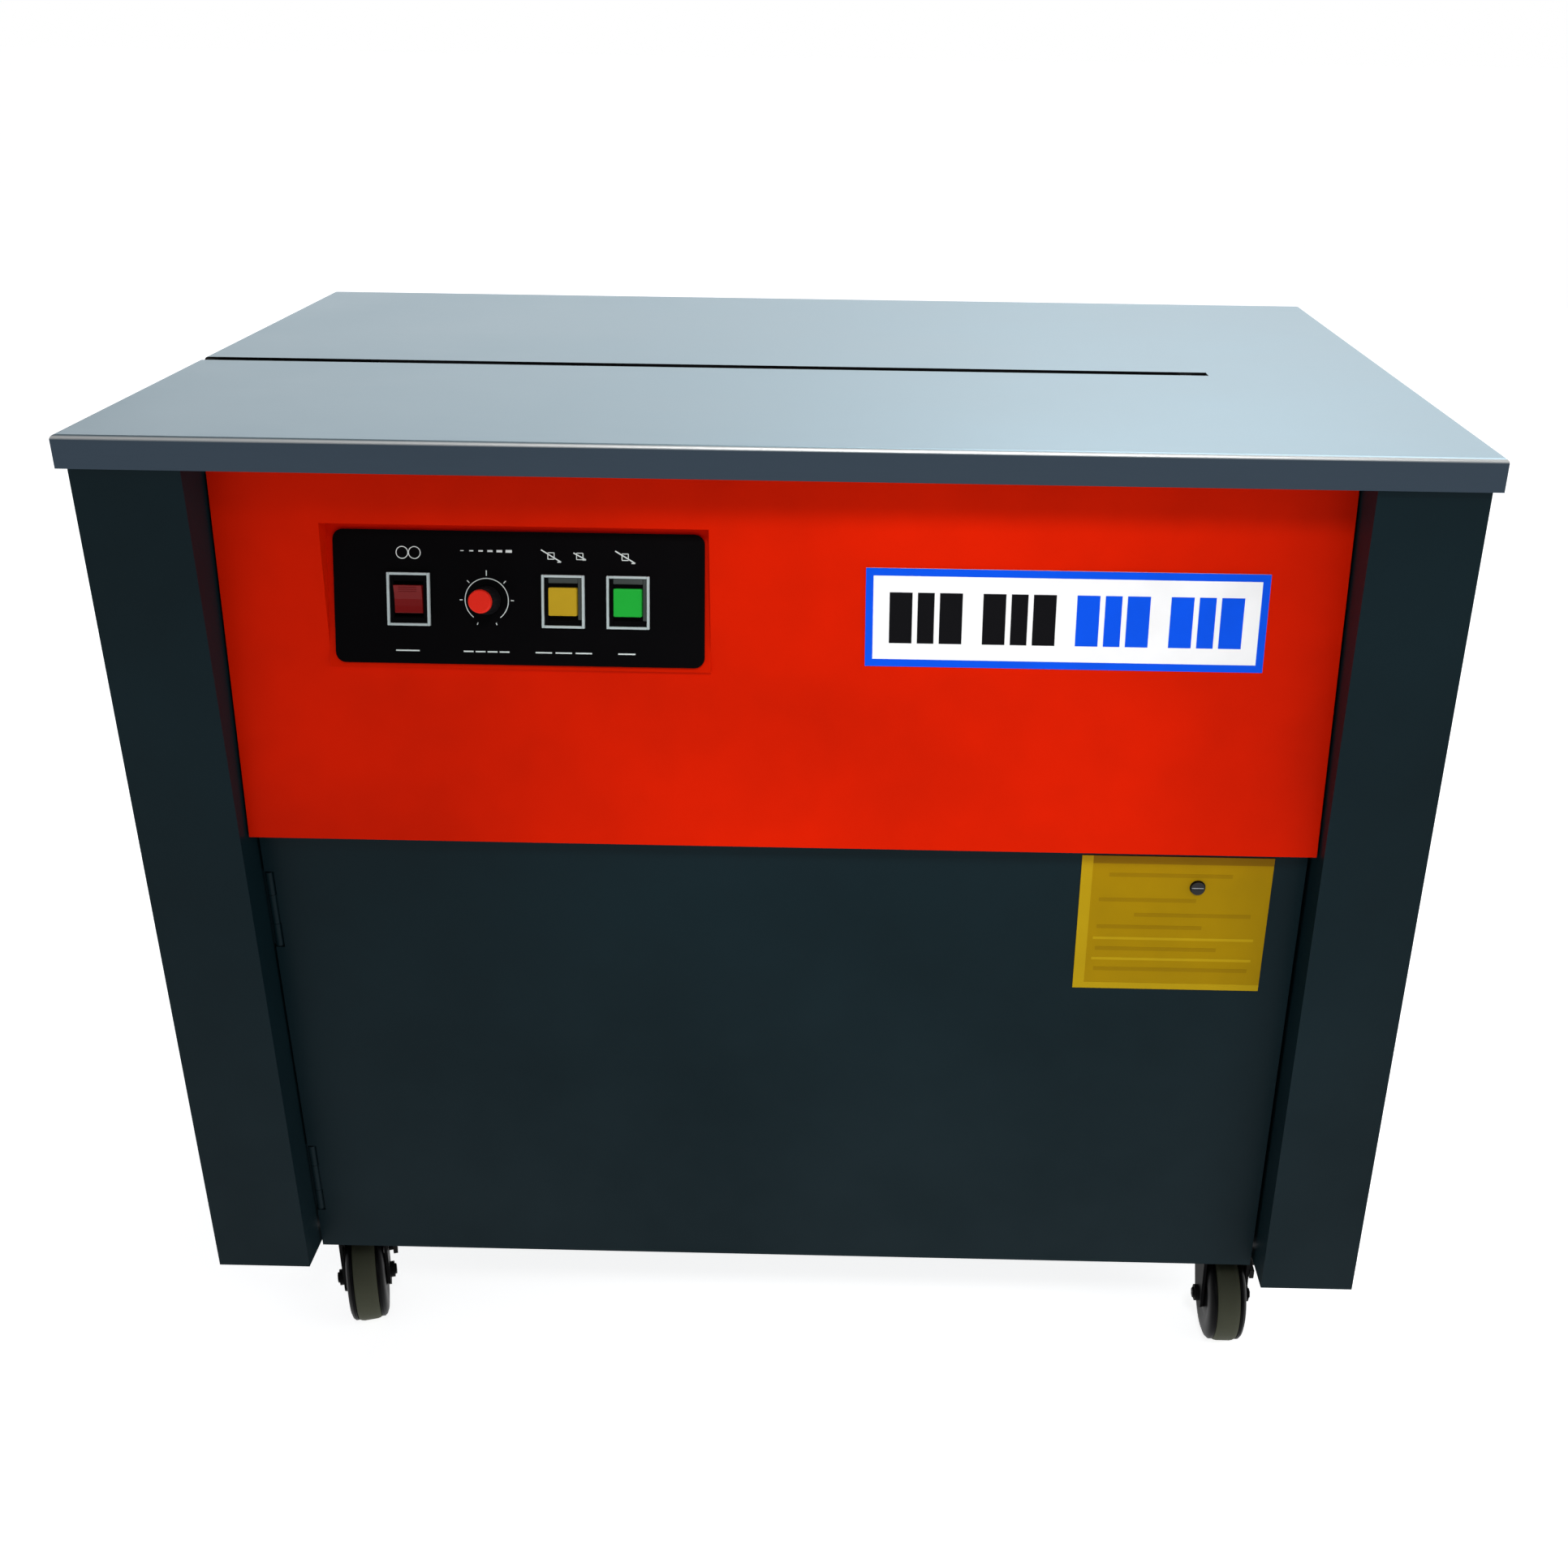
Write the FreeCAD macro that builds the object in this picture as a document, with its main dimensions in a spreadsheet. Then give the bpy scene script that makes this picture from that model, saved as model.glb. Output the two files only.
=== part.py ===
import FreeCAD, Part
import math
import os
import re

import Sketcher

# Semi-automatic strapping machine. Millimetres, +X right, +Y back, +Z up.
# Origin: centre of the table outline, on the floor.
doc = FreeCAD.newDocument("strapping_machine")

SIZES = {
    # table
    "table_width": 895, "table_depth": 580, "table_height": 750, "table_sheet": 2, "rim_drop": 21,
    "edge_radius": 3, "slot_width": 12, "slot_y": -40, "slot_end": 306,
    # cabinet
    "skin": 1.5, "panel_out": 442.7, "panel_in": 372, "panel_front": -284, "panel_back": 276,
    "panel_low": 95, "panel_high": 747, "return_depth": 48, "rear_flange": 42.7,
    "pan_low": 97, "pan_sheet": 3, "pan_front": -234, "pan_back": 272, "pan_rise": 28,
    "rear_y": 273, "rear_high": 730, "bulkhead_y": -28, "bulkhead_high": 590,
    "rail_low": 632, "beam_low": 635, "beam_high": 655, "beam_front_y": -110, "beam_rear_y": 45,
    "beam_depth": 30,
    # front cover and control plate
    "cover_x": 0, "cover_y": -272, "cover_z": 465, "cover_lean": 5.2, "cover_half": 370.5, "cover_rise": 262,
    "plate_y": -264.2, "plate_z": 594.5, "plate_lean": 16.2, "plate_x": -173.5, "plate_half": 123,
    "plate_rise": 88, "plate_thick": 2, "control_up": 42.7, "button_half": 9.25, "knob_tall": 21,
    "frame_tall": 3, "power_x": -73, "knob_x": -21.5, "feed_x": 29.5, "reset_x": 72.5,
    # door
    "door_y": -257, "door_low": 94, "door_high": 463, "door_left": -370, "door_right": 369,
    "door_axis_x": -367.5, "door_axis_y": -254.5, "lock_x": 294, "lock_z": 433,
    # table hinge
    "hinge_y": 282, "hinge_z": 724, "hinge_x": 300, "knuckle_r": 4,
    # sealing head
    "head_x": -266, "gripper_pitch": 31, "gripper_wide": 22, "gripper_deep": 40, "head_gap": 0.3,
    "head_top": 735, "cam_z": 636, "cam_shaft_r": 9, "bore_gap": 0.05,
    # drive
    "motor_x": -20, "motor_z": 585, "motor_r": 42, "gear_x": -150, "gear_z": 622,
    "pulley_big": 34, "pulley_small": 17, "belt_y": 12.5, "belt_gap": 0.3, "belt_thick": 3,
    # feed unit and reel
    "feed_unit_x": -70, "feed_z": 688, "feed_r": 20, "idle_r": 14, "idle_z": 722.4,
    "reel_x": 130, "reel_z": 330, "reel_r": 205, "core_r": 95, "spindle_r": 20,
    # casters
    "caster_x": 357, "caster_y": 200, "trail": 26, "wheel_r": 37.5, "axle_r": 4, "kingpin_r": 5,
}
SWIVEL = {"front_left": 16, "front_right": 0, "rear_left": 8, "rear_right": -12}
CORNERS = {"front_left": (-1, -1), "front_right": (1, -1), "rear_left": (-1, 1), "rear_right": (1, 1)}

sheet = doc.addObject("Spreadsheet::Sheet", "sizes")
for row, (alias, number) in enumerate(SIZES.items(), start=1):
    sheet.set(f"A{row}", alias)
    sheet.set(f"B{row}", str(number))
    sheet.setAlias(f"B{row}", alias)
doc.recompute()

nodes = {}


def formula(text):
    """Expression text in which every size name reads its cell of the sheet."""
    return re.sub(r"[a-z]\w*", lambda word: ("sizes." if word.group() in SIZES else "") + word.group(), text)


def bind(item, prop, text):
    item.setExpression(prop, formula(text))


def put(item, point, face=None):
    """Bind a position; on a leaning face, y runs up the face and z stands out of it."""
    across, up, out = point
    if face:
        sine = f"sin({face}_lean * 1 deg)"
        cosine = f"cos({face}_lean * 1 deg)"
        tilt = FreeCAD.Rotation(FreeCAD.Vector(1, 0, 0), 90 - SIZES[f"{face}_lean"])
        item.Placement = FreeCAD.Placement(FreeCAD.Vector(), tilt.multiply(item.Placement.Rotation))
        point = (f"{face}_x + ({across})", f"{face}_y + ({up})*{sine} - ({out})*{cosine}",
                 f"{face}_z + ({up})*{cosine} + ({out})*{sine}")
    for axis, text in zip("xyz", point):
        bind(item, f"Placement.Base.{axis}", text)


def slab(across, deep, tall, face=None):
    """Box between two positions along each axis."""
    item = doc.addObject("Part::Box", "slab")
    for prop, (low, high) in zip(("Length", "Width", "Height"), (across, deep, tall)):
        bind(item, prop, f"({high}) - ({low})")
    put(item, (across[0], deep[0], tall[0]), face)
    return item


def rod(axis, start, radius, length, face=None):
    """Cylinder from a start point along +axis."""
    turns = {"X": ((0, 1, 0), 90), "Y": ((1, 0, 0), -90), "Z": ((0, 0, 1), 0)}
    direction, angle = turns[axis]
    item = doc.addObject("Part::Cylinder", "rod")
    item.Placement = FreeCAD.Placement(FreeCAD.Vector(),
                                       FreeCAD.Rotation(FreeCAD.Vector(*direction), angle))
    bind(item, "Radius", radius)
    bind(item, "Height", length)
    put(item, start, face)
    return item


def joined(*items):
    item = doc.addObject("Part::MultiFuse", "joined")
    item.Shapes = list(items)
    return item


def cut(base, *tools):
    item = doc.addObject("Part::Cut", "cut")
    item.Base = base
    item.Tool = tools[0] if len(tools) == 1 else joined(*tools)
    return item


def outline(body, plane, points):
    """Closed sketch on an origin plane, with both coordinates of each corner bound to the sheet."""
    sketch = body.newObject("Sketcher::SketchObject", "outline")
    support = [feature for feature in body.Origin.OriginFeatures if feature.Role == plane]
    sketch.AttachmentSupport = (support[0], [""])
    sketch.MapMode = "FlatFace"
    count = len(points)
    ring = [2 * math.pi * index / count for index in range(count)]
    start = [FreeCAD.Vector(50 * math.cos(turn), 50 * math.sin(turn), 0) for turn in ring]
    for index in range(count):
        sketch.addGeometry(Part.LineSegment(start[index], start[(index + 1) % count]))
    for index in range(count):
        sketch.addConstraint(Sketcher.Constraint("Coincident", index, 2, (index + 1) % count, 1))
    for index, point in enumerate(points):
        for kind, text, guess in zip(("DistanceX", "DistanceY"), point, start[index]):
            number = sketch.addConstraint(Sketcher.Constraint(kind, -1, 1, index, 1, guess))
            bind(sketch, f"Constraints[{number}]", text)
    return sketch


def padded(plane, points, length, start=("0", "0", "0"), face=None):
    """Body padded from one outline."""
    body = doc.addObject("PartDesign::Body", "padded")
    pad = body.newObject("PartDesign::Pad", "pad")
    pad.Profile = outline(body, plane, points)
    bind(pad, "Length", length)
    put(body, start, face)
    return body


def turned(points):
    """Body revolved about its X axis from (along, radius) corners."""
    body = doc.addObject("PartDesign::Body", "turned")
    sketch = outline(body, "XY_Plane", points)
    spin = body.newObject("PartDesign::Revolution", "spin")
    spin.Profile = sketch
    spin.ReferenceAxis = (sketch, ["H_Axis"])
    spin.Angle = 360
    return body


def keep(name, item):
    item.Label = name
    nodes[name] = item


# ---------------------------------------------------------------- table

def table_top():
    """One sheet with a folded rim all round; the strap slot runs out through the left rim."""
    half_x = "table_width/2"
    half_y = "table_depth/2"
    body = padded("XY_Plane", [(f"-{half_x}", f"-{half_y}"), (half_x, f"-{half_y}"), (half_x, half_y),
                               (f"-{half_x}", half_y)], "rim_drop", ("0", "0", "table_height - rim_drop"))
    doc.recompute()
    pad = body.Tip
    top = pad.Shape.BoundBox.ZMax
    edges = [f"Edge{index}" for index, edge in enumerate(pad.Shape.Edges, start=1)
             if edge.BoundBox.ZMin > top - 0.1]
    rounding = body.newObject("PartDesign::Fillet", "rounding")
    rounding.Base = (pad, edges)
    bind(rounding, "Radius", "edge_radius")
    inside = slab(("-table_width/2 + table_sheet", "table_width/2 - table_sheet"),
                  ("-table_depth/2 + table_sheet", "table_depth/2 - table_sheet"),
                  ("table_height - rim_drop - 1", "table_height - table_sheet"))
    slot = slab(("-table_width/2 - 1", "slot_end"),
                ("slot_y - slot_width/2", "slot_y + slot_width/2"), ("table_height - 14", "table_height + 1"))
    keep("table_top", cut(body, inside, slot))


def table_hinges():
    """Two butt hinges on the rear edge; the base leaves carry the pins."""
    bases = []
    leaves = []
    for side in (-1, 1):
        mid = f"{side}*hinge_x"
        outer = rod("X", (f"{mid} - 35", "hinge_y", "hinge_z"), "knuckle_r", "19.7")
        other = rod("X", (f"{mid} + 15.3", "hinge_y", "hinge_z"), "knuckle_r", "19.7")
        pin = rod("X", (f"{mid} - 35", "hinge_y", "hinge_z"), "2", "70")
        leaf = slab((f"{mid} - 35", f"{mid} + 35"), ("rear_y + skin", "278"), ("690", "hinge_z - 4.5"))
        arms = [slab((f"{mid} + {low}", f"{mid} + {low + 19.7}"), ("rear_y + skin", "hinge_y"),
                     ("hinge_z - 6", "hinge_z")) for low in (-35, 15.3)]
        bases.append(joined(outer, other, pin, leaf, *arms))
        barrel = rod("X", (f"{mid} - 15", "hinge_y", "hinge_z"), "knuckle_r", "30")
        strip = slab((f"{mid} - 15", f"{mid} + 15"), ("hinge_y + 2.5", "hinge_y + 6"), ("hinge_z", "729"))
        flap = slab((f"{mid} - 35", f"{mid} + 35"), ("hinge_y + 2.5", "hinge_y + 6"), ("729", "745"))
        bore = rod("X", (f"{mid} - 16", "hinge_y", "hinge_z"), "2 + bore_gap", "32")
        leaves.append(cut(joined(barrel, strip, flap), bore))
    keep("table_hinge_bases", joined(*bases))
    keep("table_hinge_leaves", joined(*leaves))


# ---------------------------------------------------------------- cabinet

def side_panels():
    """Folded side sheets: wide front column, inward return, side wall and rear flange."""
    for name, side in (("left", -1), ("right", 1)):
        out = f"{side}*panel_out"
        inner_wall = f"{side}*(panel_out - skin)"
        column = f"{side}*panel_in"
        column_back = f"{side}*(panel_in + skin)"
        flange = f"{side}*(panel_out - rear_flange)"
        points = [(column, "panel_front"), (out, "panel_front"), (out, "panel_back"), (flange, "panel_back"),
                  (flange, "panel_back - skin"), (inner_wall, "panel_back - skin"),
                  (inner_wall, "panel_front + skin"), (column_back, "panel_front + skin"),
                  (column_back, "panel_front + return_depth"), (column, "panel_front + return_depth")]
        body = padded("XY_Plane", points, "panel_high - panel_low", ("0", "0", "panel_low"))
        keep(f"side_panel_{name}", body)


def base_pan():
    """Shallow floor tray that ties the two sides together and carries the casters."""
    full = ("-panel_out + skin + 0.2", "panel_out - skin - 0.2")
    depth = ("pan_front", "pan_back")
    outer = slab(full, depth, ("pan_low", "pan_low + pan_rise"))
    inner = slab((f"{full[0]} + pan_sheet", f"{full[1]} - pan_sheet"),
                 ("pan_front + pan_sheet", "pan_back - pan_sheet"), ("pan_low + pan_sheet", "pan_low + 40"))
    keep("base_pan", cut(outer, inner))


def rear_cover():
    """Flat rear sheet with rows of vents and the inlet cut-out."""
    back = slab(("-panel_out + skin + 0.3", "panel_out - skin - 0.3"), ("rear_y", "rear_y + skin"),
                ("pan_low + pan_sheet", "rear_high"))
    vents = []
    for column in (-1, 1):
        for row in range(8):
            low = f"520 + {row}*14"
            centre = f"{column}*200"
            vents.append(slab((f"{centre} - 70", f"{centre} + 70"), ("rear_y - 1", "rear_y + 3"),
                              (low, f"{low} + 5")))
    inlet = slab(("307", "353"), ("rear_y - 1", "rear_y + 3"), ("167", "193"))
    keep("rear_cover", cut(back, inlet, *vents))


def bulkhead():
    """Mid wall that carries the reel spindle in front and the strap pool behind."""
    wall = slab(("-panel_out + skin + pan_sheet + 0.3", "panel_out - skin - pan_sheet - 0.3"),
                ("bulkhead_y - 3", "bulkhead_y"), ("pan_low + pan_sheet", "bulkhead_high"))
    keep("bulkhead", wall)


def rails_and_beams():
    """Side rails welded inside the side sheets, two beams that carry the head, and the lock's catch bar."""
    rails = []
    for side in (-1, 1):
        far = f"{side}*(panel_out - skin)"
        near = f"{side}*401"
        web = f"{side}*438"
        foot_x = (near, far) if side > 0 else (far, near)
        web_x = (web, far) if side > 0 else (far, web)
        foot = slab(foot_x, ("-232", "272"), ("rail_low", "beam_low"))
        wall = slab(web_x, ("-232", "272"), ("rail_low", "beam_high + 17"))
        rails.append(joined(foot, wall))
    keep("side_rails", joined(*rails))
    for name in ("front", "rear"):
        mid = f"beam_{name}_y"
        beam = slab(("-437", "437"), (f"{mid} - beam_depth/2", f"{mid} + beam_depth/2"),
                    ("beam_low", "beam_high"))
        hollow = slab(("-438", "438"), (f"{mid} - beam_depth/2 + 2", f"{mid} + beam_depth/2 - 2"),
                      ("beam_low - 1", "beam_high - 2"))
        keep(f"beam_{name}", cut(beam, hollow))
    bar = slab(("-panel_in", "panel_in"), ("-250", "-247"), ("466", "486"))
    keep("catch_bar", bar)


# ---------------------------------------------------------------- front cover and controls

def front_cover():
    """Leaning cover with folded edges and a sunk pocket whose floor leans further back."""
    left = "-301"
    right = "-46.5"
    out = "-17"
    sides = ("-cover_half", "cover_half")
    face = slab(sides, ("1", "cover_rise"), ("-skin", "0"), "cover")
    edges = [slab(("-cover_half", "-cover_half + skin"), ("1", "cover_rise"), (out, "0"), "cover"),
             slab(("cover_half - skin", "cover_half"), ("1", "cover_rise"), (out, "0"), "cover"),
             slab(sides, ("cover_rise - skin", "cover_rise"), (out, "0"), "cover"),
             slab(sides, ("1", "1 + skin"), ("-14", "0"), "cover")]
    window = slab((left, right), ("126", "222"), ("-3", "1"), "cover")
    walls = [slab((f"{left} - skin", left), ("126 - skin", "222 + skin"), ("-18", "0"), "cover"),
             slab((right, f"{right} + skin"), ("126 - skin", "222 + skin"), ("-18", "0"), "cover"),
             slab((left, right), ("222", "222 + skin"), ("-18", "0"), "cover"),
             slab((left, right), ("126 - skin", "126"), ("-6", "0"), "cover")]
    floor = slab(("-127.5", "127"), ("-3", "94.3"), ("-4", "-plate_thick - 0.05"), "plate")
    hole = slab(("-117", "117"), ("6", "82"), ("-6", "0"), "plate")
    keep("front_cover", cut(joined(cut(face, window), *edges, *walls, floor), hole))


def control_plate():
    """Black plate with cut-outs for the rocker, the knob shaft and the two buttons."""
    body = padded("XY_Plane", [("-plate_half", "0"), ("plate_half", "0"), ("plate_half", "plate_rise"),
                               ("-plate_half", "plate_rise")], "plate_thick", ("0", "0", "-plate_thick"),
                  "plate")
    doc.recompute()
    pad = body.Tip
    corners = [f"Edge{index}" for index, edge in enumerate(pad.Shape.Edges, start=1)
               if edge.Length < SIZES["plate_thick"] + 0.1]
    rounding = body.newObject("PartDesign::Fillet", "rounding")
    rounding.Base = (pad, corners)
    rounding.Radius = 7
    gap = "0.4"
    holes = [slab((f"{name}_x - button_half - {gap}", f"{name}_x + button_half + {gap}"),
                  (f"control_up - button_half - {gap}", f"control_up + button_half + {gap}"),
                  ("-5", "5"), "plate") for name in ("feed", "reset")]
    holes.append(slab(("power_x - button_half - 0.4", "power_x + button_half + 0.4"),
                      ("control_up - 11.5", "control_up + 11.5"), ("-5", "5"), "plate"))
    holes.append(rod("Z", ("knob_x", "control_up", "-5"), "3.3", "10", "plate"))
    keep("control_plate", cut(body, *holes))


def controls():
    """Rocker switch, length knob and two sprung buttons, with their frames and dial."""
    frames = []
    for name in ("power", "feed", "reset"):
        outer = slab((f"{name}_x - 14.2", f"{name}_x + 14.2"), ("control_up - 17.5", "control_up + 17.5"),
                     ("0", "frame_tall"), "plate")
        inner = slab((f"{name}_x - 12.6", f"{name}_x + 12.6"), ("control_up - 15.9", "control_up + 15.9"),
                     ("-1", "frame_tall + 1"), "plate")
        frames.append(cut(outer, inner))
    keep("switch_frames", joined(*frames))
    ring = rod("Z", ("knob_x", "control_up", "0"), "15", "0.8", "plate")
    ring_hole = rod("Z", ("knob_x", "control_up", "-1"), "13.2", "3", "plate")
    keep("knob_dial", cut(ring, ring_hole))
    for name in ("feed", "reset"):
        half = "button_half"
        cap = slab((f"{name}_x - {half}", f"{name}_x + {half}"),
                   (f"control_up - {half}", f"control_up + {half}"), ("-3", "5"), "plate")
        stem = slab((f"{name}_x - 5", f"{name}_x + 5"), ("control_up - 5", "control_up + 5"),
                    ("-14", "-3"), "plate")
        keep(f"{name}_button", joined(cap, stem))
    wedge = [("-3", "-9.2"), ("1.8", "-9.2"), ("2.4", "0"), ("4.9", "9.2"), ("-3", "9.2")]
    rocker = padded("XY_Plane", wedge, "2*button_half")
    rocker.Placement = FreeCAD.Placement(FreeCAD.Vector(), FreeCAD.Rotation(FreeCAD.Vector(0, -1, 0), 90))
    put(rocker, ("power_x + button_half", "control_up", "0"), "plate")
    pivot = rod("X", ("power_x - button_half - 0.3", "control_up", "-2"), "0.9",
                "2*button_half + 0.6", "plate")
    keep("power_rocker", joined(rocker, pivot))
    skirt = rod("Z", ("knob_x", "control_up", "0.6"), "9.5", "knob_tall - 4", "plate")
    cap = rod("Z", ("knob_x", "control_up", "knob_tall - 3.4"), "8", "3.4", "plate")
    shaft = rod("Z", ("knob_x", "control_up", "-12"), "3", "12.6", "plate")
    keep("length_knob", joined(skirt, cap, shaft))


def control_box():
    """Housing behind the plate, with the circuit board standing in it."""
    shell = slab(("-116", "116"), ("7", "81"), ("-46", "-2.3"), "plate")
    inside = slab(("-114", "114"), ("9", "79"), ("-44", "-1"), "plate")
    keep("control_box", cut(shell, inside))
    board = slab(("-105", "105"), ("12", "76"), ("-34", "-32"), "plate")
    blocks = [slab((f"{name}_x - 9", f"{name}_x + 9"), ("control_up - 9", "control_up + 9"),
                   ("-32", "-19"), "plate") for name in ("power", "feed", "reset")]
    posts = [slab((f"{low}", f"{low + 6}"), ("20", "26"), ("-44", "-34"), "plate") for low in (-90, 84)]
    keep("circuit_board", joined(board, *blocks, *posts))


def badges():
    """Thin plates: the wide badge on the cover and the yellow label on the door."""
    keep("badge_plate", slab(("56", "320"), ("132.7", "199"), ("0", "1"), "cover"))
    label = slab(("211", "346"), ("door_y - 0.5", "door_y"), ("348.5", "457"))
    hole = rod("Y", ("lock_x", "door_y - 1", "lock_z"), "5.6", "2")
    keep("yellow_label", cut(label, hole))


def mains_inlet():
    """Three-pole inlet on the rear sheet with an open socket."""
    flange = slab(("302", "358"), ("274.5", "277"), ("162", "198"))
    shell = slab(("308", "352"), ("246", "274.5"), ("168", "192"))
    socket = slab(("318", "342"), ("259", "278"), ("173", "187"))
    keep("mains_inlet", cut(joined(flange, shell), socket))


# ---------------------------------------------------------------- door

HINGE_LOWS = (130, 370)


def front_door():
    """Flat door with short folded edges, notched for its two hinges and bored for the lock."""
    sheet_y = ("door_y", "door_y + skin")
    fold_y = ("door_y", "door_y + 9.5")
    face = slab(("door_left", "door_right"), sheet_y, ("door_low", "door_high"))
    folds = [slab(("door_left + 25", "door_right"), fold_y, ("door_high - skin", "door_high")),
             slab(("door_left + 25", "door_right"), fold_y, ("door_low", "door_low + skin")),
             slab(("door_right - skin", "door_right"), fold_y, ("door_low", "door_high")),
             slab(("door_left + 25", "door_left + 25 + skin"), fold_y, ("door_low", "door_high"))]
    notches = [slab(("door_left - 1", "-363.5"), ("door_y - 1", "door_y + 3"), (f"{low} - 1", f"{low} + 61"))
               for low in HINGE_LOWS]
    bore = rod("Y", ("lock_x", "door_y - 1", "lock_z"), "4 + bore_gap", "5")
    keep("front_door", cut(joined(face, *folds), bore, *notches))


def door_hinges():
    """Two lift hinges: pin knuckles on the column's return, middle knuckles on the door."""
    fixed = []
    moving = []
    axis = ("door_axis_x", "door_axis_y")
    for low in HINGE_LOWS:
        for part in (low, low + 42):
            fixed.append(rod("Z", (*axis, f"{part}"), "3", "18"))
            fixed.append(slab(("-panel_in", "door_axis_x"), ("door_axis_y + 0.5", "door_axis_y + 2.9"),
                              (f"{part}", f"{part} + 18")))
        fixed.append(rod("Z", (*axis, f"{low}"), "1.5", "60"))
        fixed.append(slab(("-panel_in", "-panel_in + 1.3"), ("door_axis_y + 0.5", "-238"),
                          (f"{low}", f"{low} + 60")))
        knuckle = rod("Z", (*axis, f"{low} + 18.3"), "3", "23.4")
        leaf = slab(("door_axis_x", "-348"), ("door_y + skin", "door_y + skin + 2"),
                    (f"{low} + 18.3", f"{low} + 41.7"))
        bore = rod("Z", (*axis, f"{low} + 17"), "1.5 + bore_gap", "26")
        moving.append(cut(joined(knuckle, leaf), bore))
    keep("door_hinge_pins", joined(*fixed))
    keep("door_hinge_leaves", joined(*moving))


def door_lock():
    """Quarter-turn lock: slotted head, round shaft and a tongue that turns up behind the catch bar."""
    head = rod("Y", ("lock_x", "door_y - 2.6", "lock_z"), "5", "2.5")
    slot = slab(("lock_x - 6", "lock_x + 6"), ("door_y - 3", "door_y - 1.6"),
                ("lock_z - 0.6", "lock_z + 0.6"))
    shaft = rod("Y", ("lock_x", "door_y - 0.2", "lock_z"), "4", "14")
    tongue = slab(("lock_x - 6", "lock_x + 44"), ("-246", "-243"), ("lock_z - 6", "lock_z + 6"))
    keep("door_lock", joined(cut(head, slot), shaft, tongue))


# ---------------------------------------------------------------- sealing head

def gripper_x(index):
    return f"head_x + {index}*gripper_pitch"


def head_block():
    """Cast block with three guide slots, a ledge for the heater and two camshaft bearings."""
    foot = slab(("-350", "-192"), ("-125", "60"), ("beam_high", "beam_high + 8"))
    tower = slab(("-322", "-210"), ("-78", "-2"), ("beam_high + 8", "head_top"))
    ledge = slab(("-290", "-242"), ("-2", "40"), ("beam_high + 8", "head_top"))
    cheeks = [slab((low, f"{low} + 8"), ("-62", "-18"), ("612", "beam_high")) for low in ("-342", "-206")]
    slots = [slab((f"{gripper_x(index)} - gripper_wide/2", f"{gripper_x(index)} + gripper_wide/2"),
                  ("slot_y - gripper_deep/2", "slot_y + gripper_deep/2"), ("beam_high - 1", "head_top + 1"))
             for index in (-1, 0, 1)]
    bore = rod("X", ("-345", "slot_y", "cam_z"), "cam_shaft_r + bore_gap", "150")
    keep("head_block", cut(joined(foot, tower, ledge, *cheeks), *slots, bore))


def grippers():
    """Left gripper, sealing press and right gripper, each a block that rises in its slot."""
    tops = {"left_gripper": (-1, "738.6"), "sealing_press": (0, "736.4"), "right_gripper": (1, "738.6")}
    for name, (index, top) in tops.items():
        half_x = "gripper_wide/2 - head_gap"
        half_y = "gripper_deep/2 - head_gap"
        mid = gripper_x(index)
        block = slab((f"{mid} - ({half_x})", f"{mid} + {half_x}"),
                     (f"slot_y - ({half_y})", f"slot_y + {half_y}"), ("653", top))
        keep(name, block)


def slide_plate():
    """Anvil under the slot, on two legs that run on the head block."""
    top = slab(("-316", "-216"), ("-95", "-5"), ("743.7", "747.7"))
    legs = [slab((low, f"{low} + 3"), ("-95", "-5"), ("head_top + head_gap", "743.7"))
            for low in ("-316", "-219")]
    keep("slide_plate", joined(top, *legs))


def heater_blade():
    """Heated tongue on its carriage, waiting behind the press."""
    carriage = slab(("-280", "-252"), ("5", "35"), ("head_top + head_gap", "741.6"))
    tongue = slab(("-277", "-255"), ("-14", "35"), ("741.6", "742.6"))
    keep("heater_blade", joined(carriage, tongue))


def camshaft():
    """Shaft with one eccentric disc under each rising block and one for the slide."""
    shaft = rod("X", ("-350", "slot_y", "cam_z"), "cam_shaft_r", "168")
    discs = []
    places = ("-328", "head_x - gripper_pitch - 6", "head_x - 6", "head_x + gripper_pitch - 6")
    for number, place in enumerate(places):
        turn = number * math.pi / 2
        centre = (f"slot_y + {4 * math.cos(turn):.3f}", f"cam_z + {4 * math.sin(turn):.3f}")
        discs.append(rod("X", (place, *centre), "12", "10"))
    keep("camshaft", joined(shaft, *discs))


# ---------------------------------------------------------------- drive

def main_motor():
    """Motor hung under the rear beam, with feet and a round terminal cover."""
    can = rod("Y", ("motor_x", "24", "motor_z"), "motor_r", "118")
    feet = slab(("motor_x - 40", "motor_x + 40"), ("32", "58"), ("motor_z", "beam_low"))
    box = slab(("motor_x + 20", "motor_x + 62"), ("60", "120"), ("motor_z - 20", "motor_z + 20"))
    bore = rod("Y", ("motor_x", "20", "motor_z"), "6 + bore_gap", "20")
    keep("main_motor", cut(joined(can, feet, box), bore))


def gearbox():
    """Worm gearbox between the belt and the camshaft."""
    case = slab(("-190", "-110"), ("-75", "-1"), ("600", "672"))
    boss = rod("Y", ("gear_x", "-1", "gear_z"), "15", "4")
    arm = slab(("-190", "-110"), ("-95", "-75"), ("beam_high", "665"))
    out = rod("X", ("-191", "slot_y", "cam_z"), "cam_shaft_r + bore_gap", "12")
    inlet = rod("Y", ("gear_x", "-12", "gear_z"), "6 + bore_gap", "20")
    keep("gearbox", cut(joined(case, boss, arm), out, inlet))


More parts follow.
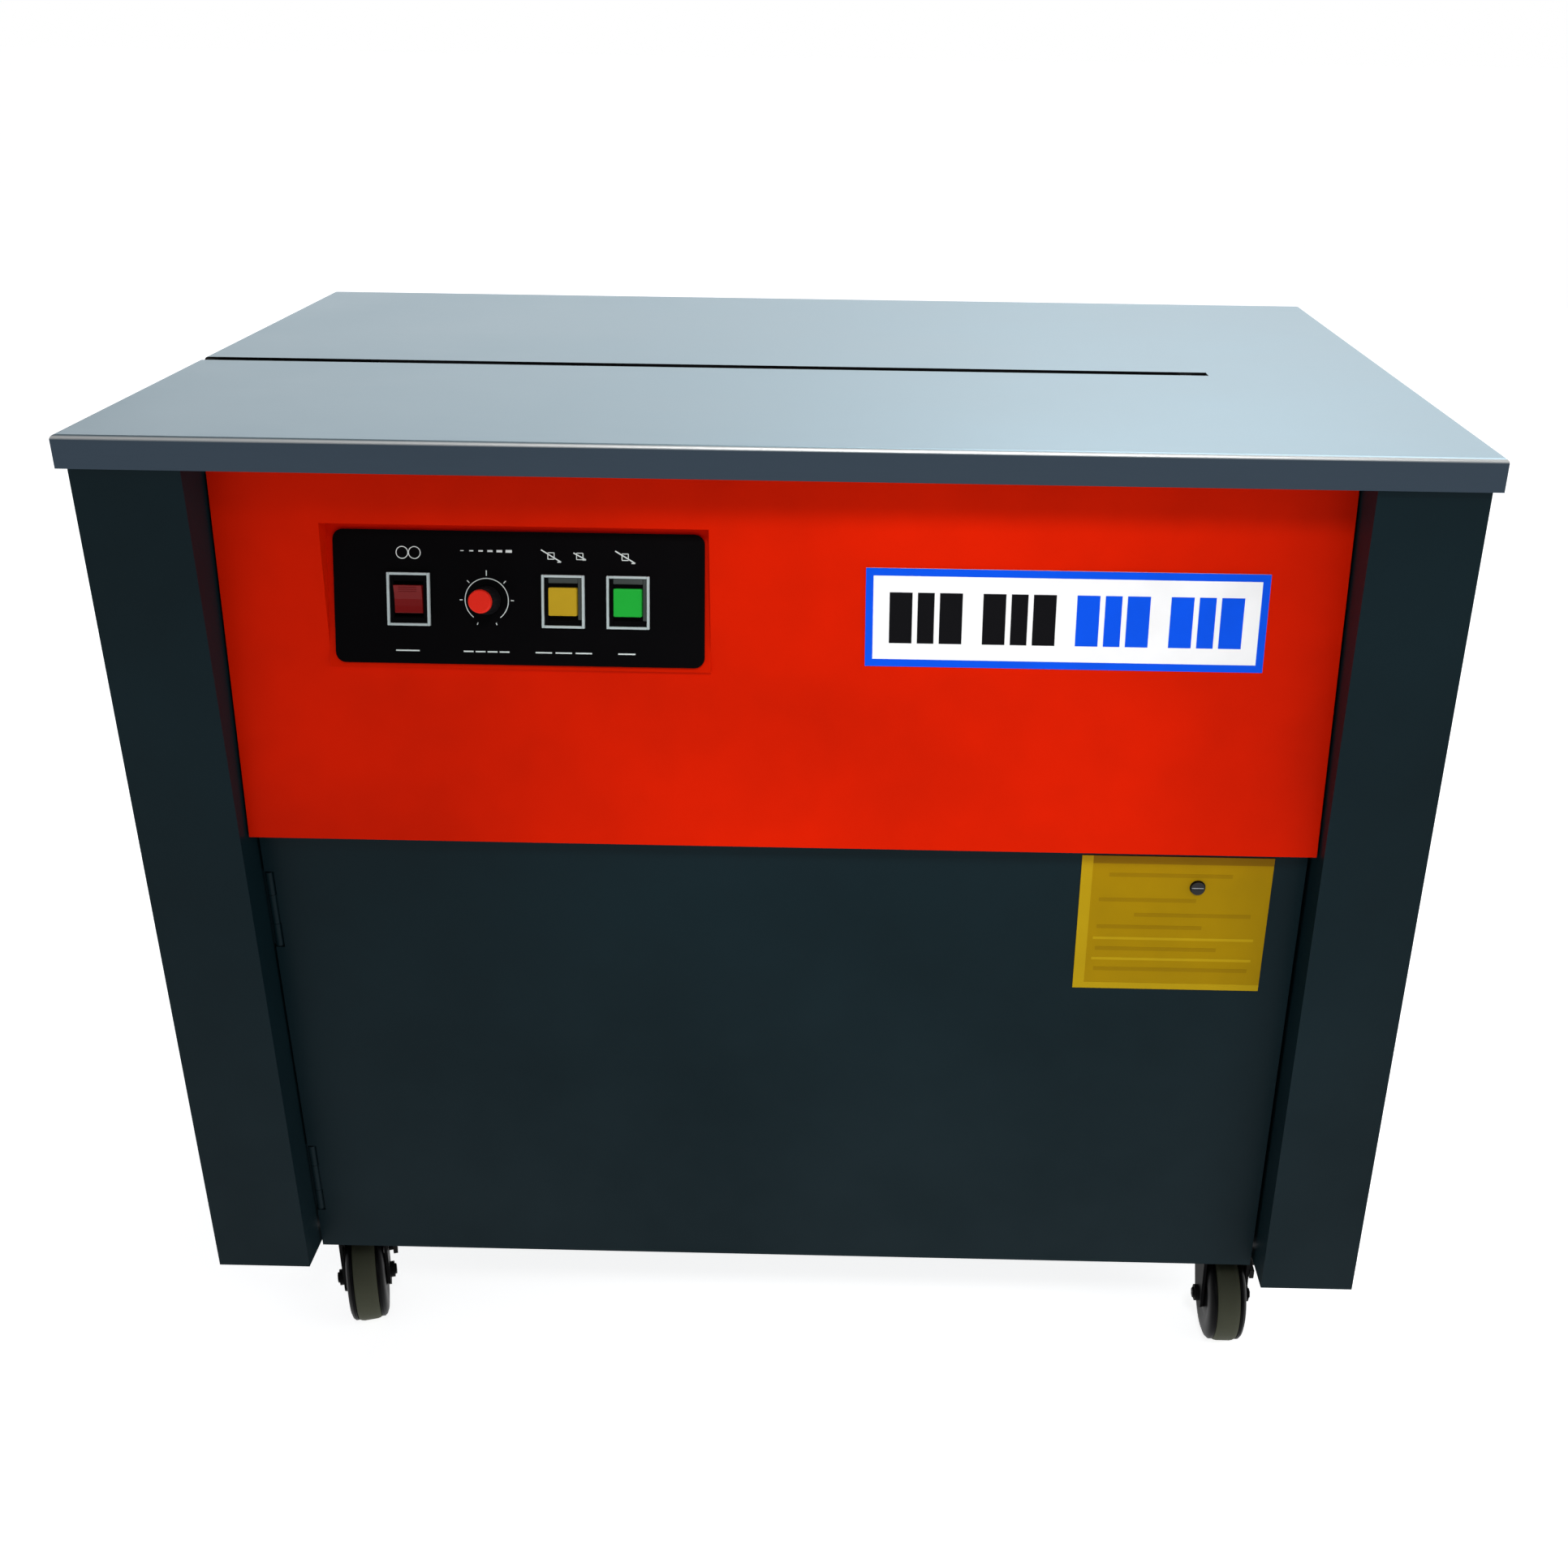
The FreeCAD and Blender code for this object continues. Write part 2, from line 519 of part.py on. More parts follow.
def pulleys():
    """Flanged belt pulleys, each on its own shaft stub."""
    pairs = {"motor_pulley": ("motor_x", "motor_z", "pulley_small", "5", "35"),
             "gearbox_pulley": ("gear_x", "gear_z", "pulley_big", "-10", "30")}
    for name, (across, tall, radius, start, length) in pairs.items():
        rim = rod("Y", (across, "belt_y - 6.5", tall), radius, "13")
        lips = [rod("Y", (across, low, tall), f"{radius} + 2.5", "1.2")
                for low in ("belt_y - 7.7", "belt_y + 6.5")]
        shaft = rod("Y", (across, start, tall), "6", length)
        keep(name, joined(rim, *lips, shaft))


def drive_belt():
    """Closed belt: two straight runs tangent to both pulleys, and the arcs round them."""
    small = SIZES["pulley_small"] + SIZES["belt_gap"]
    big = SIZES["pulley_big"] + SIZES["belt_gap"]
    near = FreeCAD.Vector(SIZES["gear_x"], 0, SIZES["gear_z"])
    far = FreeCAD.Vector(SIZES["motor_x"], 0, SIZES["motor_z"])
    loops = [belt_loop(near, big + grow, far, small + grow) for grow in (SIZES["belt_thick"], 0)]
    faces = [Part.Face(loop) for loop in loops]
    ring = faces[0].cut(faces[1])
    belt = doc.addObject("Part::Feature", "belt")
    belt.Shape = ring.extrude(FreeCAD.Vector(0, 12, 0))
    belt.Placement = FreeCAD.Placement(FreeCAD.Vector(0, SIZES["belt_y"] - 6, 0), FreeCAD.Rotation())
    keep("drive_belt", belt)


def belt_loop(near, big, far, small):
    line = far - near
    heading = math.atan2(line.z, line.x)
    spread = math.acos((big - small) / line.Length)

    def at(centre, radius, angle):
        return centre + FreeCAD.Vector(radius * math.cos(angle), 0, radius * math.sin(angle))

    upper = heading + spread
    lower = heading - spread
    back = Part.Arc(at(near, big, upper), at(near, big, heading + math.pi), at(near, big, lower))
    front = Part.Arc(at(far, small, lower), at(far, small, heading), at(far, small, upper))
    low_run = Part.LineSegment(at(near, big, lower), at(far, small, lower))
    high_run = Part.LineSegment(at(far, small, upper), at(near, big, upper))
    return Part.Wire([curve.toShape() for curve in (back, low_run, front, high_run)])


# ---------------------------------------------------------------- feed unit, reel and strap path

def feed_unit():
    """Stand with the pressure roller's axle, its motor, the driven roller and the pressure roller."""
    at = "feed_unit_x"
    base = slab((f"{at} - 30", f"{at} + 30"), ("-125", "60"), ("beam_high", "beam_high + 4"))
    wall = slab((f"{at} - 30", f"{at} + 30"), ("-9", "-5"), ("beam_high + 4", "742"))
    axle = rod("Y", (at, "-57", "idle_z"), "4", "50")
    bore = rod("Y", (at, "-12", "feed_z"), "8", "10")
    keep("feed_stand", cut(joined(base, wall, axle), bore))
    can = rod("Y", (at, "-5", "feed_z"), "27", "64")
    seat = rod("Y", (at, "-6", "feed_z"), "6 + bore_gap", "14")
    keep("feed_motor", cut(can, seat))
    wheel = rod("Y", (at, "-55", "feed_z"), "feed_r", "30")
    shaft = rod("Y", (at, "-55", "feed_z"), "6", "62")
    keep("feed_roller", joined(wheel, shaft))
    idler = rod("Y", (at, "-55", "idle_z"), "idle_r", "30")
    hole = rod("Y", (at, "-56", "idle_z"), "4 + bore_gap", "32")
    keep("pressure_roller", cut(idler, hole))


def strap_guide():
    """Grooved chute under the slot, on a foot that bridges the two beams."""
    chute = slab(("-20", "303"), ("slot_y - 8", "slot_y + 8"), ("733", "747.5"))
    groove = slab(("-21", "286"), ("slot_y - 5", "slot_y + 5"), ("737", "748"))
    foot = slab(("200", "220"), ("-125", "60"), ("beam_high", "beam_high + 4"))
    leg = slab(("200", "220"), ("slot_y - 8", "slot_y + 8"), ("beam_high + 4", "733"))
    keep("strap_guide", joined(cut(chute, groove), foot, leg))


def reel():
    """Spindle with a base disc and an end cap, and the strap reel that spins on it."""
    shaft = rod("Y", ("reel_x", "-236", "reel_z"), "spindle_r", "205")
    disc = rod("Y", ("reel_x", "-37", "reel_z"), "45", "6")
    cap = rod("Y", ("reel_x", "-238", "reel_z"), "32", "9")
    keep("reel_spindle", joined(shaft, disc, cap))
    flanges = [rod("Y", ("reel_x", low, "reel_z"), "reel_r", "3") for low in ("-226", "-49")]
    core = rod("Y", ("reel_x", "-226", "reel_z"), "core_r", "180")
    hollow = rod("Y", ("reel_x", "-220", "reel_z"), "core_r - 4", "168")
    hub = rod("Y", ("reel_x", "-226", "reel_z"), "spindle_r + 6", "180")
    bore = rod("Y", ("reel_x", "-227", "reel_z"), "spindle_r + bore_gap", "182")
    keep("strap_reel", cut(joined(cut(joined(core, *flanges), hollow), hub), bore))


def strap_pool():
    """Flat box behind the bulkhead, open at the top, where loose strap gathers."""
    across = ("-330", "330")
    box = slab(across, ("bulkhead_y", "bulkhead_y + 22"), ("130", "540"))
    inside = slab(("-328", "328"), ("bulkhead_y + 2", "bulkhead_y + 20"), ("132", "541"))
    keep("strap_pool", cut(box, inside))


# ---------------------------------------------------------------- casters

def at_caster(item, name, up="0", forward="0"):
    """Turn an item about its kingpin and stand it at its corner."""
    side, end = CORNERS[name]
    turn = FreeCAD.Rotation(FreeCAD.Vector(0, 0, 1), SWIVEL[name])
    item.Placement = FreeCAD.Placement(FreeCAD.Vector(), turn.multiply(item.Placement.Rotation))
    swing = f"{SWIVEL[name]} deg"
    put(item, (f"{side}*caster_x + ({forward})*sin({swing})",
               f"{end}*caster_y - ({forward})*cos({swing})", up))
    return item


def caster_plates():
    """Four bolt plates under the tray, each with its race and kingpin."""
    plates = []
    for side, end in CORNERS.values():
        mid_x = f"{side}*caster_x"
        mid_y = f"{end}*caster_y"
        plate = slab((f"{mid_x} - 42", f"{mid_x} + 42"), (f"{mid_y} - 34", f"{mid_y} + 34"),
                     ("pan_low - 4", "pan_low"))
        race = rod("Z", (mid_x, mid_y, "89"), "20", "4")
        pin = rod("Z", (mid_x, mid_y, "79"), "kingpin_r", "12")
        head = rod("Z", (mid_x, mid_y, "78.6"), "8", "3.2")
        plates.append(joined(plate, race, pin, head))
    keep("caster_plates", joined(*plates))


def caster_forks():
    """Pressed forks: a crown bored for the kingpin, two legs and the axle bolt."""
    leg = [("trail - 60", "86"), ("trail - 8", "86"), ("-trail + 11", "31"), ("-trail + 5", "26"),
           ("-trail - 5", "26"), ("-trail - 12", "33")]
    for name in CORNERS:
        crown = slab(("-18.5", "18.5"), ("trail - 60", "20"), ("83.5", "88.6"))
        legs = [padded("YZ_Plane", leg, "2.5", (low, "0", "0")) for low in ("-18.5", "16")]
        axle = rod("X", ("-21", "-trail", "wheel_r"), "axle_r", "42")
        nuts = [rod("X", (low, "-trail", "wheel_r"), "6.5", "3.5") for low in ("-22", "18.5")]
        bore = rod("Z", ("0", "0", "80"), "kingpin_r + bore_gap", "12")
        fork = cut(joined(crown, *legs, axle, *nuts), bore)
        keep(f"caster_fork_{name}", at_caster(fork, name))


def caster_wheels():
    """Wheels turned from one profile: tread with rounded shoulders, disc and long hub."""
    half = [("12", "axle_r + 7"), ("12", "wheel_r - 3"), ("9", "wheel_r")]
    left = [(f"-{along}", radius) for along, radius in reversed(half)]
    ends = [("-15.7", "axle_r + 7"), ("-15.7", "axle_r + bore_gap"), ("15.7", "axle_r + bore_gap"),
            ("15.7", "axle_r + 7")]
    for name in CORNERS:
        wheel = turned(ends + half + left)
        keep(f"caster_wheel_{name}", at_caster(wheel, name, "wheel_r", "trail"))


def caster_brakes():
    """Side levers on the front forks; pressed down they clamp the wheel."""
    for name in ("front_left", "front_right"):
        arm = slab(("22.5", "26"), ("-trail + 2", "-trail + 26"), ("wheel_r + 14", "wheel_r + 22"))
        pad = slab(("22.5", "33"), ("-trail + 18", "-trail + 26"), ("wheel_r + 14", "wheel_r + 22"))
        pivot = rod("X", ("18.8", "-trail + 6", "wheel_r + 18"), "2.5", "4")
        keep(f"caster_brake_{name}", at_caster(joined(arm, pad, pivot), name))


for build in (table_top, table_hinges, side_panels, base_pan, rear_cover, bulkhead, rails_and_beams,
              front_cover, control_plate, controls, control_box, badges, mains_inlet, front_door,
              door_hinges, door_lock, head_block, grippers, slide_plate, heater_blade, camshaft, main_motor,
              gearbox, pulleys, drive_belt, feed_unit, strap_guide, reel, strap_pool, caster_plates,
              caster_forks, caster_wheels, caster_brakes):
    build()
doc.recompute()

for item in doc.Objects:
    if "Invalid" in item.State or "Error" in item.State:
        raise RuntimeError(f"{item.Name} ({item.Label}) failed: {item.State}")
for name, item in nodes.items():
    if item.Shape.isNull() or not item.Shape.isValid() or item.Shape.Volume <= 0:
        raise RuntimeError(f"{name} has no sound shape")

os.makedirs("parts", exist_ok=True)
for name, item in nodes.items():
    item.Shape.exportStep(f"parts/{name}.step")
print(len(nodes), "sub-parts")
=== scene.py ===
import math

import bmesh
import bpy
from mathutils import Euler, Matrix, Vector


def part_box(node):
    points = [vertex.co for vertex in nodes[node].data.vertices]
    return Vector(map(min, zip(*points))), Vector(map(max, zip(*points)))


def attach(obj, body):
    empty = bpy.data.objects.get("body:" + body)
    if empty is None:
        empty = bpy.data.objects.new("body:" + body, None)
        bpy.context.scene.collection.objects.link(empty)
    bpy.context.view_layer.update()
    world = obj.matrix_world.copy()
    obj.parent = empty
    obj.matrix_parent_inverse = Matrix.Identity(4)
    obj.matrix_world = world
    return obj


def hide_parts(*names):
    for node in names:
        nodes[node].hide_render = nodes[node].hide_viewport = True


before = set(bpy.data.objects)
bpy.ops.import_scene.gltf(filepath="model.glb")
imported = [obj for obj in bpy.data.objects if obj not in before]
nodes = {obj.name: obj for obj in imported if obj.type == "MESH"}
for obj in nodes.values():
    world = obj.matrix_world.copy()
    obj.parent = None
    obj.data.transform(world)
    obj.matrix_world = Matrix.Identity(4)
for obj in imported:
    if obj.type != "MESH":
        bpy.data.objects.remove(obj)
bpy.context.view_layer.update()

# ------------------------------------------------------------------ floor
# A very large sheet of pale seamless paper with a faint fibre grain. It glows a little,
# so that it reads as white out to the horizon.
class Shade:
    """A socket that takes part in plain Python sums."""

    def __init__(self, tree, socket):
        self.tree = tree
        self.socket = socket

    def maths(self, kind, left, right=0.0):
        node = self.tree.nodes.new("ShaderNodeMath")
        node.operation = kind
        for place, value in enumerate((left, right)):
            if isinstance(value, Shade):
                self.tree.links.new(value.socket, node.inputs[place])
            else:
                node.inputs[place].default_value = value
        return Shade(self.tree, node.outputs[0])

    def __add__(self, other):
        return self.maths("ADD", self, other)

    __radd__ = __add__

    def __sub__(self, other):
        return self.maths("SUBTRACT", self, other)

    def __rsub__(self, other):
        return self.maths("SUBTRACT", other, self)

    def __mul__(self, other):
        return self.maths("MULTIPLY", self, other)

    __rmul__ = __mul__


class Finish:
    """A material being mixed: its node tree, its surface shader and its object coordinates."""

    def __init__(self, name, color, metallic=0.0, roughness=0.5, shine=0.5):
        self.material = bpy.data.materials.new(name)
        self.material.use_nodes = True
        self.material.diffuse_color = (*color, 1)
        self.tree = self.material.node_tree
        self.surface = self.tree.nodes["Principled BSDF"]
        self.set("Base Color", (*color, 1))
        self.set("Metallic", metallic)
        self.set("Roughness", roughness)
        self.set("Specular IOR Level", shine)
        self.place = self.node("ShaderNodeTexCoord").outputs["Object"]

    def node(self, kind, settings=None, **sockets):
        """Add a node: its settings first, then values or links for its sockets."""
        made = self.tree.nodes.new(kind)
        for key, value in (settings or {}).items():
            setattr(made, key, value)
        for key, value in sockets.items():
            self.feed(made.inputs[key.replace("_", " ")], value)
        return made

    def feed(self, socket, value):
        source = value.socket if isinstance(value, Shade) else value
        if isinstance(source, bpy.types.NodeSocket):
            self.tree.links.new(source, socket)
        else:
            socket.default_value = source

    def set(self, socket, value):
        self.feed(self.surface.inputs[socket], value)

    def noise(self, size, scale=(1, 1, 1), detail=3.0, rough=0.5):
        """Soft noise whose blobs are about `size` metres across."""
        spread = self.node("ShaderNodeMapping", Vector=self.place, Scale=scale).outputs["Vector"]
        made = self.node("ShaderNodeTexNoise", Vector=spread, Scale=1 / size, Detail=detail, Roughness=rough)
        return Shade(self.tree, made.outputs["Fac"])

    def blend(self, amount, first, second):
        made = self.node("ShaderNodeMix", {"data_type": "RGBA"})
        self.feed(made.inputs[0], amount)
        self.feed(made.inputs[6], (*first, 1) if isinstance(first, tuple) else first)
        self.feed(made.inputs[7], (*second, 1) if isinstance(second, tuple) else second)
        return made.outputs[2]

    def ramp(self, value, low, high):
        made = self.node("ShaderNodeMapRange", From_Min=low, From_Max=high, Value=value)
        return Shade(self.tree, made.outputs["Result"])

    def bump(self, height, distance, strength=1.0):
        made = self.node("ShaderNodeBump", Height=height, Distance=distance, Strength=strength)
        self.set("Normal", made.outputs["Normal"])

    def axis(self, name):
        return Shade(self.tree, self.node("ShaderNodeSeparateXYZ", Vector=self.place).outputs[name])


def tinted(color, factor):
    return tuple(min(1, channel * factor) for channel in color)


paper = Finish("floor_paper", (0.86, 0.87, 0.88), roughness=0.8)
fibre = paper.noise(0.004)
paper.set("Base Color", paper.blend(fibre, (0.85, 0.86, 0.87), (0.88, 0.89, 0.9)))
paper.set("Emission Color", (1, 1, 1, 1))
paper.set("Emission Strength", 0.84)
floor_mesh = bmesh.new()
bmesh.ops.create_grid(floor_mesh, x_segments=1, y_segments=1, size=40)
floor_data = bpy.data.meshes.new("floor")
floor_mesh.to_mesh(floor_data)
floor_mesh.free()
floor_data.materials.append(paper.material)
floor = bpy.data.objects.new("floor", floor_data)
bpy.context.scene.collection.objects.link(floor)


# ------------------------------------------------------------------ studio
# A broad soft light overhead, a long one behind, a small one at the right and a wide beam
# from the front. The air glows faintly, and reads as white to the camera, which stands
# where the operator does, a little to the right of the middle and looking down.
def hang(lamp, place, aim, watts):
    """Hang a lamp at a place, turned towards its aim."""
    lamp.energy = watts
    holder = bpy.data.objects.new(lamp.name, lamp)
    holder.location = place
    holder.rotation_euler = (Vector(aim) - Vector(place)).to_track_quat("-Z", "Y").to_euler()
    bpy.context.scene.collection.objects.link(holder)
    return holder


def soft_light(name, place, aim, size, watts):
    lamp = bpy.data.lights.new(name, "AREA")
    lamp.shape = "RECTANGLE"
    lamp.size, lamp.size_y = size
    hang(lamp, place, aim, watts).visible_camera = False


soft_light("overhead", (0.8, 0.8, 2.4), (0.15, 0.1, 0.7), (2.2, 1.4), 26)
soft_light("rear_wall", (0.9, 5.0, 2.0), (0.6, 0, 1.0), (9.0, 3.0), 88)
soft_light("right_soft", (2.2, -1.2, 1.3), (0.2, 0, 0.4), (1.2, 1.2), 9)
beam = bpy.data.lights.new("front_beam", "SPOT")
beam.spot_size = math.radians(30)
beam.spot_blend = 1.0
beam.shadow_soft_size = 0.22
hang(beam, (0.20, -1.45, 1.7), (0.10, -0.27, 0.54), 62)

world = bpy.data.worlds.new("studio_air")
world.use_nodes = True
air = world.node_tree.nodes
air["Background"].inputs["Color"].default_value = (0.93, 0.95, 1.0, 1)
air["Background"].inputs["Strength"].default_value = 0.2
backdrop = air.new("ShaderNodeBackground")
backdrop.inputs["Color"].default_value = (1, 1, 1, 1)
backdrop.inputs["Strength"].default_value = 1.0
seen = air.new("ShaderNodeLightPath")
chosen = air.new("ShaderNodeMixShader")
for source, target in ((seen.outputs["Is Camera Ray"], chosen.inputs[0]),
                       (air["Background"].outputs[0], chosen.inputs[1]),
                       (backdrop.outputs[0], chosen.inputs[2]),
                       (chosen.outputs[0], air["World Output"].inputs["Surface"])):
    world.node_tree.links.new(source, target)
bpy.context.scene.world = world

camera_data = bpy.data.cameras.new("operator_view")
camera_data.sensor_width = 36
camera_data.lens = 38.16
camera_data.shift_x = -0.0476
camera_data.shift_y = 0.0036
camera = bpy.data.objects.new("operator_view", camera_data)
camera.location = (0.066, -1.298, 0.992)
pitch, yaw, roll = math.radians(90 - 25.1), math.radians(0.71), math.radians(0.78)
look = Euler((pitch, 0, yaw), "XYZ").to_matrix()
camera.rotation_euler = (look @ Matrix.Rotation(roll, 3, "Z")).to_euler()
bpy.context.scene.collection.objects.link(camera)
bpy.context.scene.camera = camera
bpy.context.scene.view_settings.view_transform = "Standard"


# ------------------------------------------------------------------ table
# The table is one folded sheet of brushed stainless steel, brushed from side to side. The
# folded rim is painted darker grey as painted shade, a pale band along its rounded edge is a
# painted highlight, and the walls of the slot are painted black as painted shade.
def brushed(name, color, roughness, along=(0.02, 1, 1)):
    """Bare metal whose fine grain is stretched where `along` is small."""
    steel = Finish(name, color, metallic=1.0)
    grain = steel.noise(0.0009, along, detail=4, rough=0.7)
    wear = steel.ramp(steel.noise(0.16), 0.35, 0.7)
    steel.tone = steel.blend(grain * 0.6 + wear * 0.2, tinted(color, 0.88), tinted(color, 1.12))
    steel.set("Base Color", steel.tone)
    steel.set("Roughness", grain * 0.16 + wear * 0.025 + (roughness - 0.085))
    steel.bump(grain, 0.00002, 0.6)
    return steel


def dress(finish, *names):
    """Give carried-over CAD nodes their finish."""
    for name in names:
        nodes[name].data.materials.clear()
        nodes[name].data.materials.append(finish.material)


table_top_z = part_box("table_top")[1].z
slot_y, slot_half, slot_end, fade = -0.04, 0.0061, 0.3061, 0.0001
# The rim's grey is painted shade, the edge's white a painted highlight, the slot's black painted shade.
rim_shade_grey, highlight_white, slot_shade_black = (0.045, 0.064, 0.086), (1.0, 1.0, 0.97), (0.003, 0.003, 0.004)
table_steel = brushed("brushed_table", (0.335, 0.455, 0.52), 0.40)
height = table_steel.axis("Z")
above_rim = table_steel.ramp(height, table_top_z - 0.003, table_top_z - 0.0006)
# A narrow band along the rounded edge, painted pale as a painted highlight.
highlight_band = table_steel.ramp(height, table_top_z - 0.0028, table_top_z - 0.0016)
highlight_band = highlight_band - table_steel.ramp(height, table_top_z - 0.0009, table_top_z - 0.0003)
aside = table_steel.axis("Y") - slot_y
# The walls of the slot, painted black as painted shade.
slot_shade_mask = table_steel.ramp(slot_half - aside.maths("ABSOLUTE", aside), 0, fade)
slot_shade_mask = slot_shade_mask * table_steel.ramp(slot_end - table_steel.axis("X"), 0, fade)
tone = table_steel.blend(above_rim, rim_shade_grey, table_steel.tone)
tone = table_steel.blend(highlight_band * 0.85, tone, highlight_white)
table_steel.set("Base Color", table_steel.blend(slot_shade_mask, tone, slot_shade_black))
# The edge band is less metallic, so its painted highlight reads bright.
table_steel.set("Metallic", 1 - highlight_band * 0.6)
dress(table_steel, "table_top")


# ------------------------------------------------------------------ cabinet
# Side sheets, door, rear cover and floor tray are folded steel with a dark blue-grey
# stove paint: a fine orange peel, a little duller and dustier towards the floor.
def stove_paint(name, color, roughness=0.36, dust=(0.03, 0.04, 0.045), shine=0.15):
    paint = Finish(name, color, roughness=roughness, shine=shine)
    dust_top = 0.40
    cloud = paint.noise(0.22, detail=4, rough=0.6)
    low = paint.ramp(dust_top - paint.axis("Z"), 0, dust_top)
    film = low * paint.ramp(cloud, 0.35, 0.75)
    tone = paint.blend(paint.ramp(cloud, 0.3, 0.75), tinted(color, 0.84), tinted(color, 1.18))
    paint.set("Base Color", paint.blend(film * 0.3, tone, dust))
    paint.set("Roughness", film * 0.2 + cloud * 0.12 + (roughness - 0.06))
    paint.bump(paint.noise(0.0022, detail=2), 0.00006, 0.35)
    return paint


cabinet_paint = stove_paint("cabinet_paint", (0.0045, 0.0145, 0.019), shine=0.06)
dress(cabinet_paint, "side_panel_left", "side_panel_right", "base_pan", "rear_cover", "bulkhead",
      "side_rails", "beam_front", "beam_rear", "catch_bar", "front_door", "feed_stand", "strap_pool",
      "door_hinge_pins", "door_hinge_leaves")


# ------------------------------------------------------------------ front cover
# The leaning cover is the same folded steel in a semi-gloss orange-red. It hangs between
# the two corner columns, above the door, and is sunk for the control plate.
cover_paint = stove_paint("cover_paint", (0.66, 0.0118, 0.0), 0.38, dust=(0.5, 0.02, 0.0), shine=0.02)
dress(cover_paint, "front_cover")


# ------------------------------------------------------------------ control plate
# A black anodised plate sunk in the cover. White marks are printed on it: a picture over
# each control, a plain bar under it and a scale of ticks round the knob.
def moulded(name, color, roughness=0.35, shine=0.2, grain=0.0004, depth=0.00003):
    plastic = Finish(name, color, roughness=roughness, shine=shine)
    skin = plastic.noise(grain, detail=2)
    cloud = plastic.noise(0.03)
    plastic.set("Base Color", plastic.blend(cloud, tinted(color, 0.9), tinted(color, 1.12)))
    plastic.set("Roughness", skin * 0.1 + cloud * 0.08 + (roughness - 0.09))
    plastic.bump(skin, depth, 0.4)
    return plastic


def piece(name, shape, finish, body, smooth=False, bevel=0.0, replaced=()):
    """Turn a bmesh into a finished piece that rides on a body."""
    bmesh.ops.recalc_face_normals(shape, faces=shape.faces)
    mesh = bpy.data.meshes.new(name)
    shape.to_mesh(mesh)
    shape.free()
    made = bpy.data.objects.new(name, mesh)
    bpy.context.scene.collection.objects.link(made)
    mesh.materials.append(finish.material)
    if smooth:
        mesh.shade_smooth()
        mesh.set_sharp_from_angle(angle=math.radians(35))
    if bevel:
        rounding = made.modifiers.new("rounding", "BEVEL")
        rounding.width = bevel
        rounding.segments = 2
        rounding.limit_method = "ANGLE"
    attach(made, body)
    if replaced:
        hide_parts(*replaced)
    return made


def leaning(lean, foot, turn=0):
    """The frame of an upright or leaning face: x across, y up the face, z out of it."""
    spun = Matrix.Rotation(math.radians(turn), 4, "Z")
    return Matrix.Translation(foot) @ spun @ Matrix.Rotation(math.radians(90 - lean), 4, "X")


def block(shape, frame_of, low, high):
    """Add a box, given by two corners in millimetres in some frame."""
    size = [max(b - a, 0.01) / 1000 for a, b in zip(low, high)]
    middle = [(a + b) / 2000 for a, b in zip(low, high)]
    turn = frame_of @ Matrix.Translation(middle) @ Matrix.Diagonal((*size, 1))
    return bmesh.ops.create_cube(shape, size=1, matrix=turn)["verts"]


def bar(shape, frame_of, start, end, width, low, high):
    """Add a straight printed bar between two points of a face."""
    line = Vector(end) - Vector(start)
    place = Matrix.Translation((start[0] / 1000, start[1] / 1000, 0))
    turn = Matrix.Rotation(math.atan2(line.y, line.x), 4, "Z")
    block(shape, frame_of @ place @ turn, (0, -width / 2, low), (line.length, width / 2, high))


def arc(shape, frame_of, centre, radius, width, low, high, first=0.0, sweep=360.0, steps=40):
    """Add a flat curved bar by spinning its section about the frame's z axis."""
    whole = sweep >= 360
    older = set(shape.verts)
    turn = Matrix.Rotation(math.radians(first), 4, "Z")
    inner, outer = radius - width / 2, radius + width / 2
    corners = [(inner, low), (outer, low), (outer, high), (inner, high)]
    section = [shape.verts.new(turn @ Vector((r / 1000, 0, z / 1000))) for r, z in corners]
    ring = [shape.edges.new(pair) for pair in zip(section, section[1:] + section[:1])]
    made = bmesh.ops.spin(shape, geom=section + ring, cent=(0, 0, 0), axis=(0, 0, 1),
                          angle=math.radians(sweep), steps=steps, use_merge=whole)
    if not whole:
        last = [item for item in made["geom_last"] if isinstance(item, bmesh.types.BMEdge)]
        bmesh.ops.contextual_create(shape, geom=ring)
        bmesh.ops.contextual_create(shape, geom=last)
    where = frame_of @ Matrix.Translation((centre[0] / 1000, centre[1] / 1000, 0))
    bmesh.ops.transform(shape, matrix=where, verts=[vert for vert in shape.verts if vert not in older])


def disc(shape, frame_of, centre, radius, low, high, top=None, steps=32):
    """Add a round bar or cone, standing out of a face."""
    where = Matrix.Translation((centre[0] / 1000, centre[1] / 1000, (low + high) / 2000))
    return bmesh.ops.create_cone(shape, cap_ends=True, segments=steps, radius1=radius / 1000,
                                 radius2=(radius if top is None else top) / 1000, depth=(high - low) / 1000,
                                 matrix=frame_of @ where)["verts"]


plate_low, plate_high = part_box("control_plate")
plate_lean = 16.2
plate_thick = 0.002
plate_face = leaning(plate_lean, ((plate_low.x + plate_high.x) / 2, plate_low.y,
                                  plate_low.z + plate_thick * math.sin(math.radians(plate_lean))))
plate_black = moulded("plate_black", (0.002, 0.0018, 0.0022), roughness=0.42, shine=0.03)
dress(plate_black, "control_plate", "control_box", "power_rocker", "length_knob")

control_up, picture_up, caption_up = 42.7, 72.5, 8.6
power_x, knob_x, feed_x, reset_x = -73, -21.5, 29.5, 72.5
print_low, print_high, stroke = -0.02, 0.12, 0.55
marks = bmesh.new()


def mark(start, end, width=stroke):
    bar(marks, plate_face, start, end, width, print_low, print_high)


def spoke_at(degrees):
    return Vector((math.cos(math.radians(degrees)), math.sin(math.radians(degrees))))


def frame_mark(left, low, right, high):
    corners = [(left, low), (right, low), (right, high), (left, high)]
    for start, end in zip(corners, corners[1:] + corners[:1]):
        mark(start, end)


